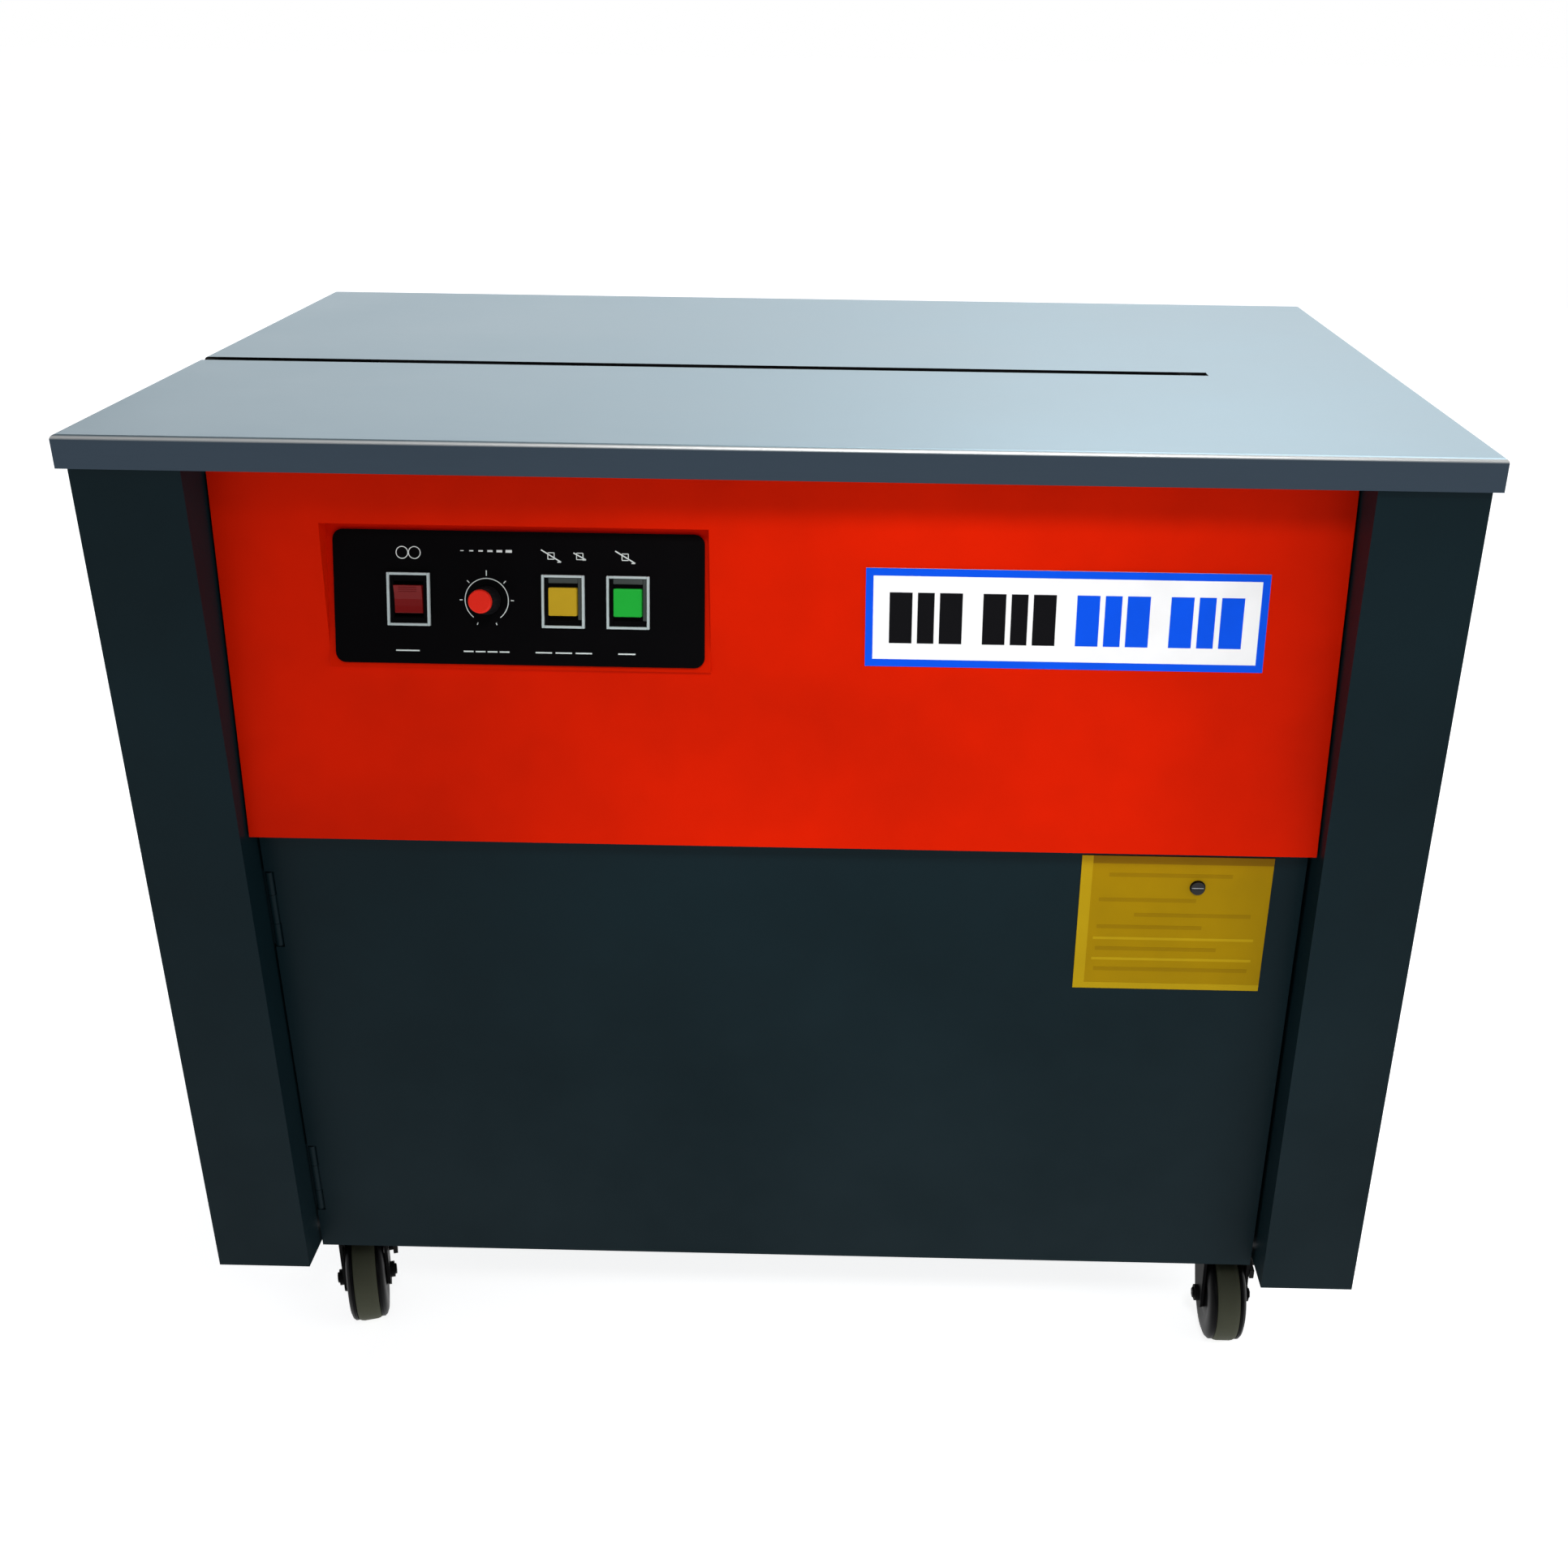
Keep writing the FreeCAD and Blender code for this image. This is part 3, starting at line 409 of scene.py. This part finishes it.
for middle in (power_x - 4.1, power_x + 4.1):
    arc(marks, plate_face, (middle, 73.2), 3.9, stroke, print_low, print_high)
for number in range(6):
    start = knob_x - 17 + 6 * number
    mark((start, 75), (start + 2.2 + 0.4 * number, 75), 0.5 + 0.26 * number)
for middle, long in ((feed_x - 8, 5.6), (feed_x + 11, 3.2), (reset_x - 2, 5.6)):
    frame_mark(middle - 2.1, picture_up - 2.1, middle + 2.1, picture_up + 2.1)
    head, foot = picture_up + long * 0.7, picture_up - long * 0.7
    mark((middle - long - 1, head), (middle + long + 1, foot), 0.8)
    mark((middle + long + 1, foot), (middle + long - 1.4, foot), 0.8)
arc(marks, plate_face, (knob_x, control_up), 14.4, stroke, print_low, print_high, -52, 284)
centre = Vector((knob_x, control_up))
for degrees, long in ((90, 3.6), (135, 2.2), (45, 2.2), (180, 2), (0, 2), (248, 1.6), (292, 1.6)):
    spoke = spoke_at(degrees)
    mark(centre + spoke * 16, centre + spoke * (16 + long), 0.6)
for left, right, parts in ((power_x - 9.6, power_x + 9.6, 1), (knob_x - 16, knob_x + 16, 4),
                           (feed_x - 19, feed_x + 21, 3), (reset_x - 7, reset_x + 7, 1)):
    step = (right - left) / parts
    for part in range(parts):
        mark((left + part * step, caption_up), (left + (part + 0.82) * step, caption_up), 0.9)
print_white = moulded("print_white", (0.72, 0.78, 0.76), roughness=0.5)
piece("plate_marks", marks, print_white, "cabinet", replaced=("knob_dial",))


# ------------------------------------------------------------------ switch frames
# Each switch snaps into a pale moulded frame that stands off the plate round a dark well.
# In the lamp switches the two walls at the top and right of the well are painted grey as
# painted light; the rocker has a black body below it.
frame_pale = moulded("frame_pale", (0.50, 0.58, 0.58), roughness=0.3)
frames = bmesh.new()
wells = bmesh.new()
painted_lit_walls = bmesh.new()
outer_x, outer_up, inner_x, inner_up, wall_x, wall_up = 14.2, 17.5, 12.5, 15.8, 9.8, 12
rails = ((-outer_x, -outer_up, -inner_x, outer_up), (inner_x, -outer_up, outer_x, outer_up),
         (-inner_x, inner_up, inner_x, outer_up), (-inner_x, -outer_up, inner_x, -inner_up))
walls = ((-inner_x, -inner_up, -wall_x, inner_up), (-wall_x, -inner_up, inner_x, -wall_up),
         (wall_x, -wall_up, inner_x, inner_up), (-wall_x, wall_up, wall_x, inner_up))
for middle in (power_x, feed_x, reset_x):
    for number, (left, low, right, high) in enumerate(rails + walls):
        # The top and right walls of the lamp switches' wells are painted grey as painted light.
        painted_lit = number > 5 and middle != power_x
        target = frames if number < 4 else painted_lit_walls if painted_lit else wells
        block(target, plate_face, (middle + left, control_up + low, 0),
              (middle + right, control_up + high, 3 if number < 4 else 1.6))
block(wells, plate_face, (power_x - 9.2, control_up - 11.2, -12), (power_x + 9.2, control_up + 11.2, -6))
piece("switch_surrounds", frames, frame_pale, "cabinet", bevel=0.0004,
      replaced=("switch_frames",))
dress(frame_pale, "switch_frames", "knob_dial")
# This grey on the well walls is painted light.
well_painted_light = moulded("well_painted_light", (0.055, 0.065, 0.062), roughness=0.45, shine=0.15)
piece("painted_lit_well_walls", painted_lit_walls, well_painted_light, "cabinet", bevel=0.0005)
piece("switch_wells", wells, plate_black, "cabinet", bevel=0.0005)


# ------------------------------------------------------------------ push buttons and rocker
# The caps are clear coloured plastic over a lamp, so they look lit from inside. Each has
# a stem down to its switch. The rocker's face has a low half and a high half with ridges.
def lamp_cap(name, color, glow):
    cap = moulded(name, color, roughness=0.22, grain=0.002)
    cloud = cap.noise(0.02, detail=2)
    cap.set("Emission Color", cap.blend(cloud, tinted(color, 0.6), color))
    cap.surface.inputs["Emission Strength"].default_value = glow
    return cap


cap_half, cap_top, cap_dish, stem_half = 9.25, 5, 0.0004, 5


def cap_shape(middle):
    """Square cap with a shallow dished face and a stem."""
    shape = bmesh.new()
    block(shape, plate_face, (middle - cap_half, control_up - cap_half, -3),
          (middle + cap_half, control_up + cap_half, cap_top))
    shape.faces.ensure_lookup_table()
    out = plate_face.to_3x3() @ Vector((0, 0, 1))
    face = max(shape.faces, key=lambda item: item.calc_center_median().dot(out))
    bmesh.ops.inset_region(shape, faces=[face], thickness=0.0012, depth=-cap_dish)
    block(shape, plate_face, (middle - stem_half, control_up - stem_half, -14),
          (middle + stem_half, control_up + stem_half, -3))
    return shape


yellow = lamp_cap("yellow_lamp_cap", (0.42, 0.27, 0.012), 0.25)
green = lamp_cap("green_lamp_cap", (0.012, 0.36, 0.035), 0.25)
red = lamp_cap("red_rocker", (0.16, 0.004, 0.004), 0.1)
dress(yellow, "feed_button")
dress(green, "reset_button")
for color, middle, finish, node in (("yellow", feed_x, yellow, "feed_button"),
                                    ("green", reset_x, green, "reset_button")):
    piece(f"{color}_cap", cap_shape(middle), finish, f"{color}_button", bevel=0.0008,
          replaced=(node,))

rocker = bmesh.new()
outline = [(-9.2, -3), (-9.2, 1.8), (-4.5, 1.95), (0, 2.4), (5, 3.55), (9.2, 4.9), (9.2, -3)]
side = [rocker.verts.new(plate_face @ (Vector((power_x - cap_half, control_up + up, out)) / 1000))
        for up, out in outline]
across = plate_face.to_3x3() @ Vector((2 * cap_half / 1000, 0, 0))
grown = bmesh.ops.extrude_face_region(rocker, geom=[rocker.faces.new(side)])["geom"]
bmesh.ops.translate(rocker, vec=across,
                    verts=[item for item in grown if isinstance(item, bmesh.types.BMVert)])
for low in (4.6, 6.0, 7.4):
    block(rocker, plate_face, (power_x - 6, control_up + low, 3),
          (power_x + 6, control_up + low + 0.6, 3.7 + (low - 4) * 0.33))
piece("rocker_cap", rocker, red, "rocker", bevel=0.0005, replaced=("power_rocker",))


# ------------------------------------------------------------------ length knob
# A turned knob of black plastic with twenty fine flutes and a bright red cap pressed in.
# Its stem goes through the plate to the control behind.
knob = bmesh.new()
knob_frame = plate_face @ Matrix.Translation((knob_x / 1000, control_up / 1000, 0))
rings = [(9.5, 0.6), (9.5, 3), (8.6, 5), (8.3, 16.6), (7.9, 17.6)]
flutes = 20
loops = []
for radius, tall in rings:
    loop = bmesh.ops.create_circle(knob, segments=flutes * 4, radius=radius / 1000,
                                   matrix=Matrix.Translation((0, 0, tall / 1000)))["verts"]
    loops.append(loop)
for loop in loops[2:4]:
    for vert in loop:
        turn = math.atan2(vert.co.y, vert.co.x)
        squeeze = 1 - 0.035 * (1 + math.cos(flutes * turn)) / 2
        vert.co.x *= squeeze
        vert.co.y *= squeeze
for lower, upper in zip(loops, loops[1:]):
    edges = [edge for loop in (lower, upper) for vert in loop for edge in vert.link_edges
             if edge.other_vert(vert) in loop]
    bmesh.ops.bridge_loops(knob, edges=list(set(edges)))
bmesh.ops.contextual_create(knob, geom=loops[0])
bmesh.ops.contextual_create(knob, geom=loops[-1])
bmesh.ops.create_cone(knob, cap_ends=True, segments=24, radius1=0.003, radius2=0.003, depth=0.0126,
                      matrix=Matrix.Translation((0, 0, -0.0057)))
bmesh.ops.transform(knob, matrix=knob_frame, verts=knob.verts)
knob_black = moulded("knob_black", (0.006, 0.006, 0.007), roughness=0.4, shine=0.12)
piece("knob_skirt", knob, knob_black, "knob", smooth=True, replaced=("length_knob",))
knob_cap = bmesh.new()
bmesh.ops.create_cone(knob_cap, cap_ends=True, segments=48, radius1=0.0079, radius2=0.0074, depth=0.0034,
                      matrix=knob_frame @ Matrix.Translation((0, 0, 0.0193)))
knob_red = moulded("knob_red", (0.80, 0.022, 0.010), roughness=0.35, shine=0.15)
piece("knob_cap", knob_cap, knob_red, "knob", smooth=True, bevel=0.0005)


# ------------------------------------------------------------------ circuit board
# Green glass-fibre board in the box behind the plate, with a relay, five chips, five
# capacitors and two connectors soldered to the side that faces the plate.
board_green = moulded("board_green", (0.012, 0.11, 0.045), roughness=0.4)
dress(board_green, "circuit_board")
board_parts = bmesh.new()
board_face = -32
for left, low, wide, tall, rise in ((-100, 60, 16, 12, 14), (-100, 16, 20, 8, 9), (80, 16, 20, 8, 9),
                                    (44, 62, 7, 10, 2.4), (56, 62, 7, 10, 2.4), (-52, 16, 9, 9, 2.4),
                                    (-4, 16, 14, 14, 2.6), (22, 16, 7, 10, 2.4)):
    block(board_parts, plate_face, (left, low, board_face), (left + wide, low + tall, board_face + rise))
for middle in (-48, -40, -32):
    disc(board_parts, plate_face, (middle, 64), 3.4, board_face, board_face + 11, steps=20)
for middle in (-5.6, 6):
    disc(board_parts, plate_face, (middle, 64), 2.2, board_face, board_face + 6, top=1.8, steps=16)
chip_black = moulded("chip_black", (0.02, 0.02, 0.022), roughness=0.55)
piece("board_parts", board_parts, chip_black, "cabinet", bevel=0.0003)


# ------------------------------------------------------------------ badge
# A white enamelled badge on the cover with a blue border and a row of four plain cartons,
# each with two gaps for its bands, two black and two blue. It carries no lettering.
badge_white = moulded("badge_white", (0.97, 0.97, 0.97), roughness=0.3)
dress(badge_white, "badge_plate")
cover_lean, cover_foot = 5.2, (0, -0.272, 0.465)
cover_face = leaning(cover_lean, cover_foot)
badge_left, badge_right, badge_foot, badge_head = 56, 320, 132.7, 199
ink_low, ink_high, band = 0.95, 1.1, 5
border = bmesh.new()
for low, high in (((badge_left, badge_foot), (badge_right, badge_foot + band)),
                  ((badge_left, badge_head - band), (badge_right, badge_head)),
                  ((badge_left, badge_foot + band), (badge_left + band, badge_head - band)),
                  ((badge_right - band, badge_foot + band), (badge_right, badge_head - band))):
    block(border, cover_face, (*low, ink_low), (*high, ink_high))
badge_blue = moulded("badge_blue", (0.002, 0.085, 0.78), roughness=0.35, shine=0.05)
piece("badge_border", border, badge_blue, "cabinet")
badge_black = moulded("badge_black", (0.004, 0.004, 0.005), roughness=0.35, shine=0.05)
for number, ink in enumerate((badge_black, badge_black, badge_blue, badge_blue)):
    cartons = bmesh.new()
    middle = badge_left + 9 + (badge_right - badge_left - 18) * (number + 0.5) / 4
    foot, head = badge_foot + 16, badge_head - 16
    for left, right in ((-24, -9), (-5.5, 5.5), (9, 24)):
        block(cartons, cover_face, (middle + left, foot, ink_low), (middle + right, head, ink_high))
    piece(f"badge_carton_{number + 1}", cartons, ink, "cabinet")


# ------------------------------------------------------------------ yellow label and door lock
# A printed film label at the door's upper right: brown heading band, paler margin, two
# pale rules and faint darker ones. The slotted quarter-turn lock pokes out through it, and
# a bright zinc bar marks its slot; the bar's brightness is a painted highlight on the slot's edge.
label_yellow = moulded("label_yellow", (0.36, 0.215, 0.0), roughness=0.5, shine=0.05)
dress(label_yellow, "yellow_label")
label_low, label_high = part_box("yellow_label")
door_face = leaning(0, (0, label_low.y, 0))
left, right, foot, head = (1000 * value for value in (label_low.x, label_high.x, label_low.z, label_high.z))
label_print, edge = 0.08, 8
margin = bmesh.new()
block(margin, door_face, (left, foot, 0), (left + edge, head, label_print))
block(margin, door_face, (left + edge, foot, 0), (right, foot + 5, label_print))
for level in (24, 41):
    block(margin, door_face, (left + 12, foot + level, 0), (right - 8, foot + level + 2.2, label_print))
label_pale = moulded("label_pale", (0.46, 0.30, 0.004), roughness=0.5, shine=0.05)
piece("label_margin", margin, label_pale, "door")
heading = bmesh.new()
block(heading, door_face, (left + edge, head - 6, 0), (right, head, label_print))
label_brown = moulded("label_brown", (0.24, 0.13, 0.001), roughness=0.5, shine=0.05)
piece("label_heading", heading, label_brown, "door")
rules = bmesh.new()
for level, first, last in ((15, 14, 10), (32, 14, 34), (50, 14, 46),
                           (60, 40, 12), (72, 14, 52), (92, 20, 28)):
    block(rules, door_face, (left + first, foot + level, 0), (right - last, foot + level + 3, label_print))
label_rule = moulded("label_rule", (0.30, 0.175, 0.0), roughness=0.5, shine=0.05)
piece("label_rules", rules, label_rule, "door")
lock_black = moulded("lock_black", (0.004, 0.004, 0.005), roughness=0.35, shine=0.3)
dress(lock_black, "door_lock")
lock_x, lock_z, line_long, line_wide = 294, 433, 8.4, 0.7
# A bright bar across the lock marks its slot and is a painted highlight on the slot's edge.
lock_highlight_bar = bmesh.new()
block(lock_highlight_bar, door_face, (lock_x - line_long / 2, lock_z - line_wide / 2, 1.1),
      (lock_x + line_long / 2, lock_z + line_wide / 2, 1.4))
zinc = brushed("zinc", (0.52, 0.53, 0.55), 0.42, along=(1, 1, 1))
piece("lock_slot_highlight", lock_highlight_bar, zinc, "lock")


# ------------------------------------------------------------------ screws
# Zinc-plated pan-head screws with a sunk middle hold the rear cover, the hinges, the
# sealing head, the feed unit and the caster plates.
def screws(shape, frame_of, places, radius, rise, foot=0.0):
    out = frame_of.to_3x3() @ Vector((0, 0, 1))
    for place in places:
        older = set(shape.faces)
        disc(shape, frame_of, place, radius, foot, foot + rise, top=radius * 0.72, steps=18)
        top = max((face for face in shape.faces if face not in older),
                  key=lambda face: face.calc_center_median().dot(out))
        bmesh.ops.inset_region(shape, faces=[top], thickness=radius * 0.00034, depth=-rise * 0.0005)


def grid(across, up):
    return [(x, y) for x in across for y in up]


rear_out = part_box("rear_cover")[1].y
rear_face = leaning(0, (0, rear_out, 0), 180)
rear_screws = bmesh.new()
rear_places = grid((-432, -150, 150, 432), (112, 716)) + grid((-432, 432), (315, 515))
screws(rear_screws, rear_face, rear_places, 4.5, 2.4)
piece("rear_screws", rear_screws, zinc, "cabinet", smooth=True)
leaf_out = 0.278
leaf_face = leaning(0, (0, leaf_out, 0), 180)
leaf_screws = bmesh.new()
screws(leaf_screws, leaf_face, grid((-325, -300, -275, 275, 300, 325), (699,)), 3.2, 1.6)
piece("hinge_screws", leaf_screws, zinc, "cabinet", smooth=True)
dress(zinc, "table_hinge_bases", "table_hinge_leaves", "reel_spindle", "caster_plates")
head_bolts = bmesh.new()
upward = Matrix.Identity(4)
head_top, bracket_top, box_top = 663, 659, 665
screws(head_bolts, upward, grid((-341, -201), (-115, 50)), 4.5, 4, head_top)
screws(head_bolts, upward, grid((-92, -48), (-112, 50)), 4, 3.5, bracket_top)
screws(head_bolts, upward, grid((210,), (-112, 48)), 4, 3.5, bracket_top)
screws(head_bolts, upward, grid((-180, -120), (-85,)), 4, 3.5, box_top)
piece("head_bolts", head_bolts, zinc, "cabinet", smooth=True)
plate_bolts = bmesh.new()
downward = Matrix.Rotation(math.pi, 4, "X")
caster_x, caster_y, plate_under = 357, 200, 93
for side in (-caster_x, caster_x):
    for end in (-caster_y, caster_y):
        corners = grid((side - 37, side + 37), (end - 29, end + 29))
        screws(plate_bolts, downward, corners, 3.4, 3, -plate_under)
piece("caster_bolts", plate_bolts, zinc, "cabinet", smooth=True)


# ------------------------------------------------------------------ rear vents and inlet
# Each vent in the rear sheet is pressed out into a small hood that throws drips clear. The
# mains inlet is a black moulded socket, clipped in, with three flat pins.
hoods = bmesh.new()
vent_foot, vent_pitch = 525, 14
for middle in (-200, 200):
    for number in range(8):
        level = vent_foot + vent_pitch * number
        block(hoods, rear_face, (middle - 70, level, 0), (middle + 70, level + 0.9, 3.2))
        block(hoods, rear_face, (middle - 70, level - 2.6, 2.5), (middle + 70, level, 3.2))
piece("vent_hoods", hoods, cabinet_paint, "cabinet", bevel=0.0004)
pins = bmesh.new()
for across, level in ((-330, 182.5), (-336, 178), (-324, 178)):
    block(pins, rear_face, (across - 1, level - 2.4, -15), (across + 1, level + 2.4, -2))
piece("inlet_pins", pins, zinc, "cabinet", bevel=0.0002)
inlet_black = moulded("inlet_black", (0.014, 0.014, 0.015), roughness=0.5)
dress(inlet_black, "mains_inlet")


# ------------------------------------------------------------------ sealing head
# Grey cast block with ground steel grippers, press, slide plate, blade and camshaft.
# The cast skin is coarse; the working steel shows fine grinding lines. The strap guide is
# black plastic with a pale tip at the slot's end.
def cast(name, color, metallic, roughness, depth=0.00025):
    metal = Finish(name, color, metallic=metallic, roughness=roughness)
    pits = metal.noise(0.0016, detail=5, rough=0.65)
    cloud = metal.noise(0.05)
    metal.set("Base Color", metal.blend(cloud * 0.6 + pits * 0.4, tinted(color, 0.78), tinted(color, 1.2)))
    metal.set("Roughness", pits * 0.2 + (roughness - 0.1))
    metal.bump(pits, depth, 0.5)
    return metal


head_grey = cast("head_grey", (0.20, 0.21, 0.22), 0.3, 0.6)
dress(head_grey, "head_block")
tool_steel = brushed("tool_steel", (0.42, 0.43, 0.45), 0.3, along=(1, 0.05, 1))
dress(tool_steel, "left_gripper", "sealing_press", "right_gripper", "slide_plate", "heater_blade", "camshaft",
      "pressure_roller")
guide_black = moulded("guide_black", (0.004, 0.004, 0.005), roughness=0.5, shine=0.1)
dress(guide_black, "strap_guide")
tip = bmesh.new()
block(tip, upward, (287, -46.5, 747.4), (296, -33.5, 747.8))
piece("guide_tip", tip, print_white, "cabinet", bevel=0.0002)


# ------------------------------------------------------------------ drive
# Painted motor with cast cooling rings and a barred end cap, cast aluminium gearbox bolted
# to its bracket, turned pulleys with five bosses each, and a black rubber belt.
motor_paint = cast("motor_paint", (0.035, 0.055, 0.075), 0.0, 0.42, depth=0.00012)
dress(motor_paint, "main_motor", "feed_motor")
motor_x, motor_z, motor_r, motor_end = -20, 585, 42, 142
shaft_line = leaning(0, (0, 0, 0), 180)
centre = Vector((-motor_x, motor_z))
rings = bmesh.new()
for number in range(10):
    start = 62 + 7 * number
    arc(rings, shaft_line, centre, motor_r + 1, 2.4, start, start + 1.8, 40, 280, steps=48)
arc(rings, shaft_line, centre, 33, 3, motor_end, motor_end + 1.5)
for number in range(12):
    spoke = spoke_at(30 * number)
    bar(rings, shaft_line, centre + spoke * 8, centre + spoke * 32, 3, motor_end, motor_end + 1.2)
piece("motor_rings", rings, motor_paint, "cabinet", bevel=0.0003)
gear_metal = cast("gear_metal", (0.42, 0.43, 0.44), 0.9, 0.5)
dress(gear_metal, "gearbox")
gear_bolts = bmesh.new()
gear_out = -0.075
gear_front = leaning(0, (0, gear_out, 0))
screws(gear_bolts, gear_front, grid((-183, -117), (607,)), 3.6, 2.6)
screws(gear_bolts, gear_front, grid((-150,), (618,)), 6, 3)
piece("gearbox_bolts", gear_bolts, zinc, "cabinet", smooth=True)
pulley_metal = brushed("pulley_metal", (0.5, 0.51, 0.52), 0.32, along=(1, 1, 1))
dress(pulley_metal, "motor_pulley", "gearbox_pulley")
pulley_face, web = leaning(0, (0, 0, 0)), -4.8
for node, body, middle, radius in (("motor_pulley", "motor_wheel", (motor_x, motor_z), 11),
                                   ("gearbox_pulley", "gear_wheel", (-150, 622), 22)):
    bosses = bmesh.new()
    for number in range(5):
        place = Vector(middle) + spoke_at(72 * number) * radius
        disc(bosses, pulley_face, place, radius * 0.22, web, web + 0.4, steps=20)
    piece(f"{node}_bosses", bosses, pulley_metal, body, smooth=True)
belt_black = moulded("belt_black", (0.016, 0.016, 0.017), roughness=0.7, grain=0.002, depth=0.0002)
dress(belt_black, "drive_belt")


# ------------------------------------------------------------------ feed roller and reel
# The driven roller has a knurled brown rubber sleeve. The reel is black plastic, with a
# rolled rim and eight ribs on the flange that faces the door.
sleeve_brown = moulded("sleeve_brown", (0.13, 0.045, 0.018), roughness=0.65, grain=0.0012, depth=0.0003)
dress(sleeve_brown, "feed_roller")
reel_black = moulded("reel_black", (0.018, 0.018, 0.02), roughness=0.45)
dress(reel_black, "strap_reel")
reel_middle, reel_r, core_r, hub_rim = Vector((130, 330)), 205, 95, 42
reel_front = leaning(0, (0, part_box("strap_reel")[0].y, 0))
ribs = bmesh.new()
arc(ribs, reel_front, reel_middle, reel_r - 3, 5.6, 0, 2.4, steps=72)
arc(ribs, reel_front, reel_middle, core_r, 5, 0, 2.4, steps=48)
arc(ribs, reel_front, reel_middle, hub_rim, 5, 0, 2.4, steps=36)
for number in range(8):
    spoke = spoke_at(45 * number + 22.5)
    bar(ribs, reel_front, reel_middle + spoke * (hub_rim + 2), reel_middle + spoke * (reel_r - 5), 5, 0, 2.2)
piece("reel_ribs", ribs, reel_black, "reel", bevel=0.0004)


# ------------------------------------------------------------------ casters
# Pressed forks stove-enamelled black hold a black moulded wheel with domed cheeks and an
# olive-grey rubber tyre between them. The front two have a foot lever for the brake.
fork_black = stove_paint("fork_black", (0.003, 0.003, 0.0035), 0.45, dust=(0.006, 0.006, 0.006), shine=0.06)
tyre_rubber = moulded("tyre_rubber", (0.060, 0.064, 0.042), roughness=0.62, shine=0.1,
                      grain=0.0016, depth=0.00015)
wheel_black = moulded("wheel_black", (0.003, 0.003, 0.0035), roughness=0.4, shine=0.06)
swivel = {"front_left": 16, "front_right": 0, "rear_left": 8, "rear_right": -12}
wheel_r, tyre_inner, tread_half, cheek_r, cheek_out, hub_r = 37.5, 22, 9.5, 36.2, 15.6, 5


def turned_ring(shape, frame_of, profile, steps):
    """Spin a closed (along, radius) profile about the frame's z axis."""
    section = [shape.verts.new((radius / 1000, 0, along / 1000)) for along, radius in profile]
    loop = [shape.edges.new(pair) for pair in zip(section, section[1:] + section[:1])]
    older = set(shape.verts) - set(section)
    bmesh.ops.spin(shape, geom=section + loop, cent=(0, 0, 0), axis=(0, 0, 1), angle=2 * math.pi, steps=steps,
                   use_merge=True)
    bmesh.ops.transform(shape, matrix=frame_of, verts=[vert for vert in shape.verts if vert not in older])


for corner, turn in swivel.items():
    low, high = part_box(f"caster_wheel_{corner}")
    hub = Matrix.Translation((low + high) / 2) @ Matrix.Rotation(math.radians(turn), 4, "Z")
    axle_line = hub @ Matrix.Rotation(math.radians(90), 4, "Y")
    tyre = bmesh.new()
    shoulder = [(5, wheel_r - 0.08), (tread_half - 2.4, wheel_r - 0.5), (tread_half - 0.6, wheel_r - 1.4),
                (tread_half, wheel_r - 3), (tread_half, tyre_inner)]
    turned_ring(tyre, axle_line, shoulder + [(-along, radius) for along, radius in reversed(shoulder)], 72)
    piece(f"tyre_{corner}", tyre, tyre_rubber, f"{corner}_wheel", smooth=True,
          replaced=(f"caster_wheel_{corner}",))
    wheel = bmesh.new()
    cheek = [(tread_half, hub_r), (tread_half, cheek_r), (tread_half + 2, cheek_r),
             (tread_half + 3.8, cheek_r - 1.6), (cheek_out - 1, cheek_r - 5),
             (cheek_out - 0.3, cheek_r - 12), (cheek_out - 2, cheek_r - 20), (cheek_out, 11),
             (cheek_out, hub_r)]
    turned_ring(wheel, axle_line, cheek, 64)
    turned_ring(wheel, axle_line, [(-along, radius) for along, radius in reversed(cheek)], 64)
    piece(f"cheeks_{corner}", wheel, wheel_black, f"{corner}_wheel", smooth=True)
    dress(tyre_rubber, f"caster_wheel_{corner}")
    dress(fork_black, f"caster_fork_{corner}")
    nuts = bmesh.new()
    for side in (-1, 1):
        nut = hub @ Matrix.Rotation(math.radians(90 * side), 4, "Y")
        disc(nuts, nut, (0, 0), 4.6, 22, 23.6, top=4.2, steps=6)
    piece(f"axle_nuts_{corner}", nuts, fork_black, f"{corner}_caster", bevel=0.0003)
lever_black = moulded("lever_black", (0.006, 0.006, 0.006), roughness=0.45, shine=0.1)
dress(lever_black, "caster_brake_front_left", "caster_brake_front_right")
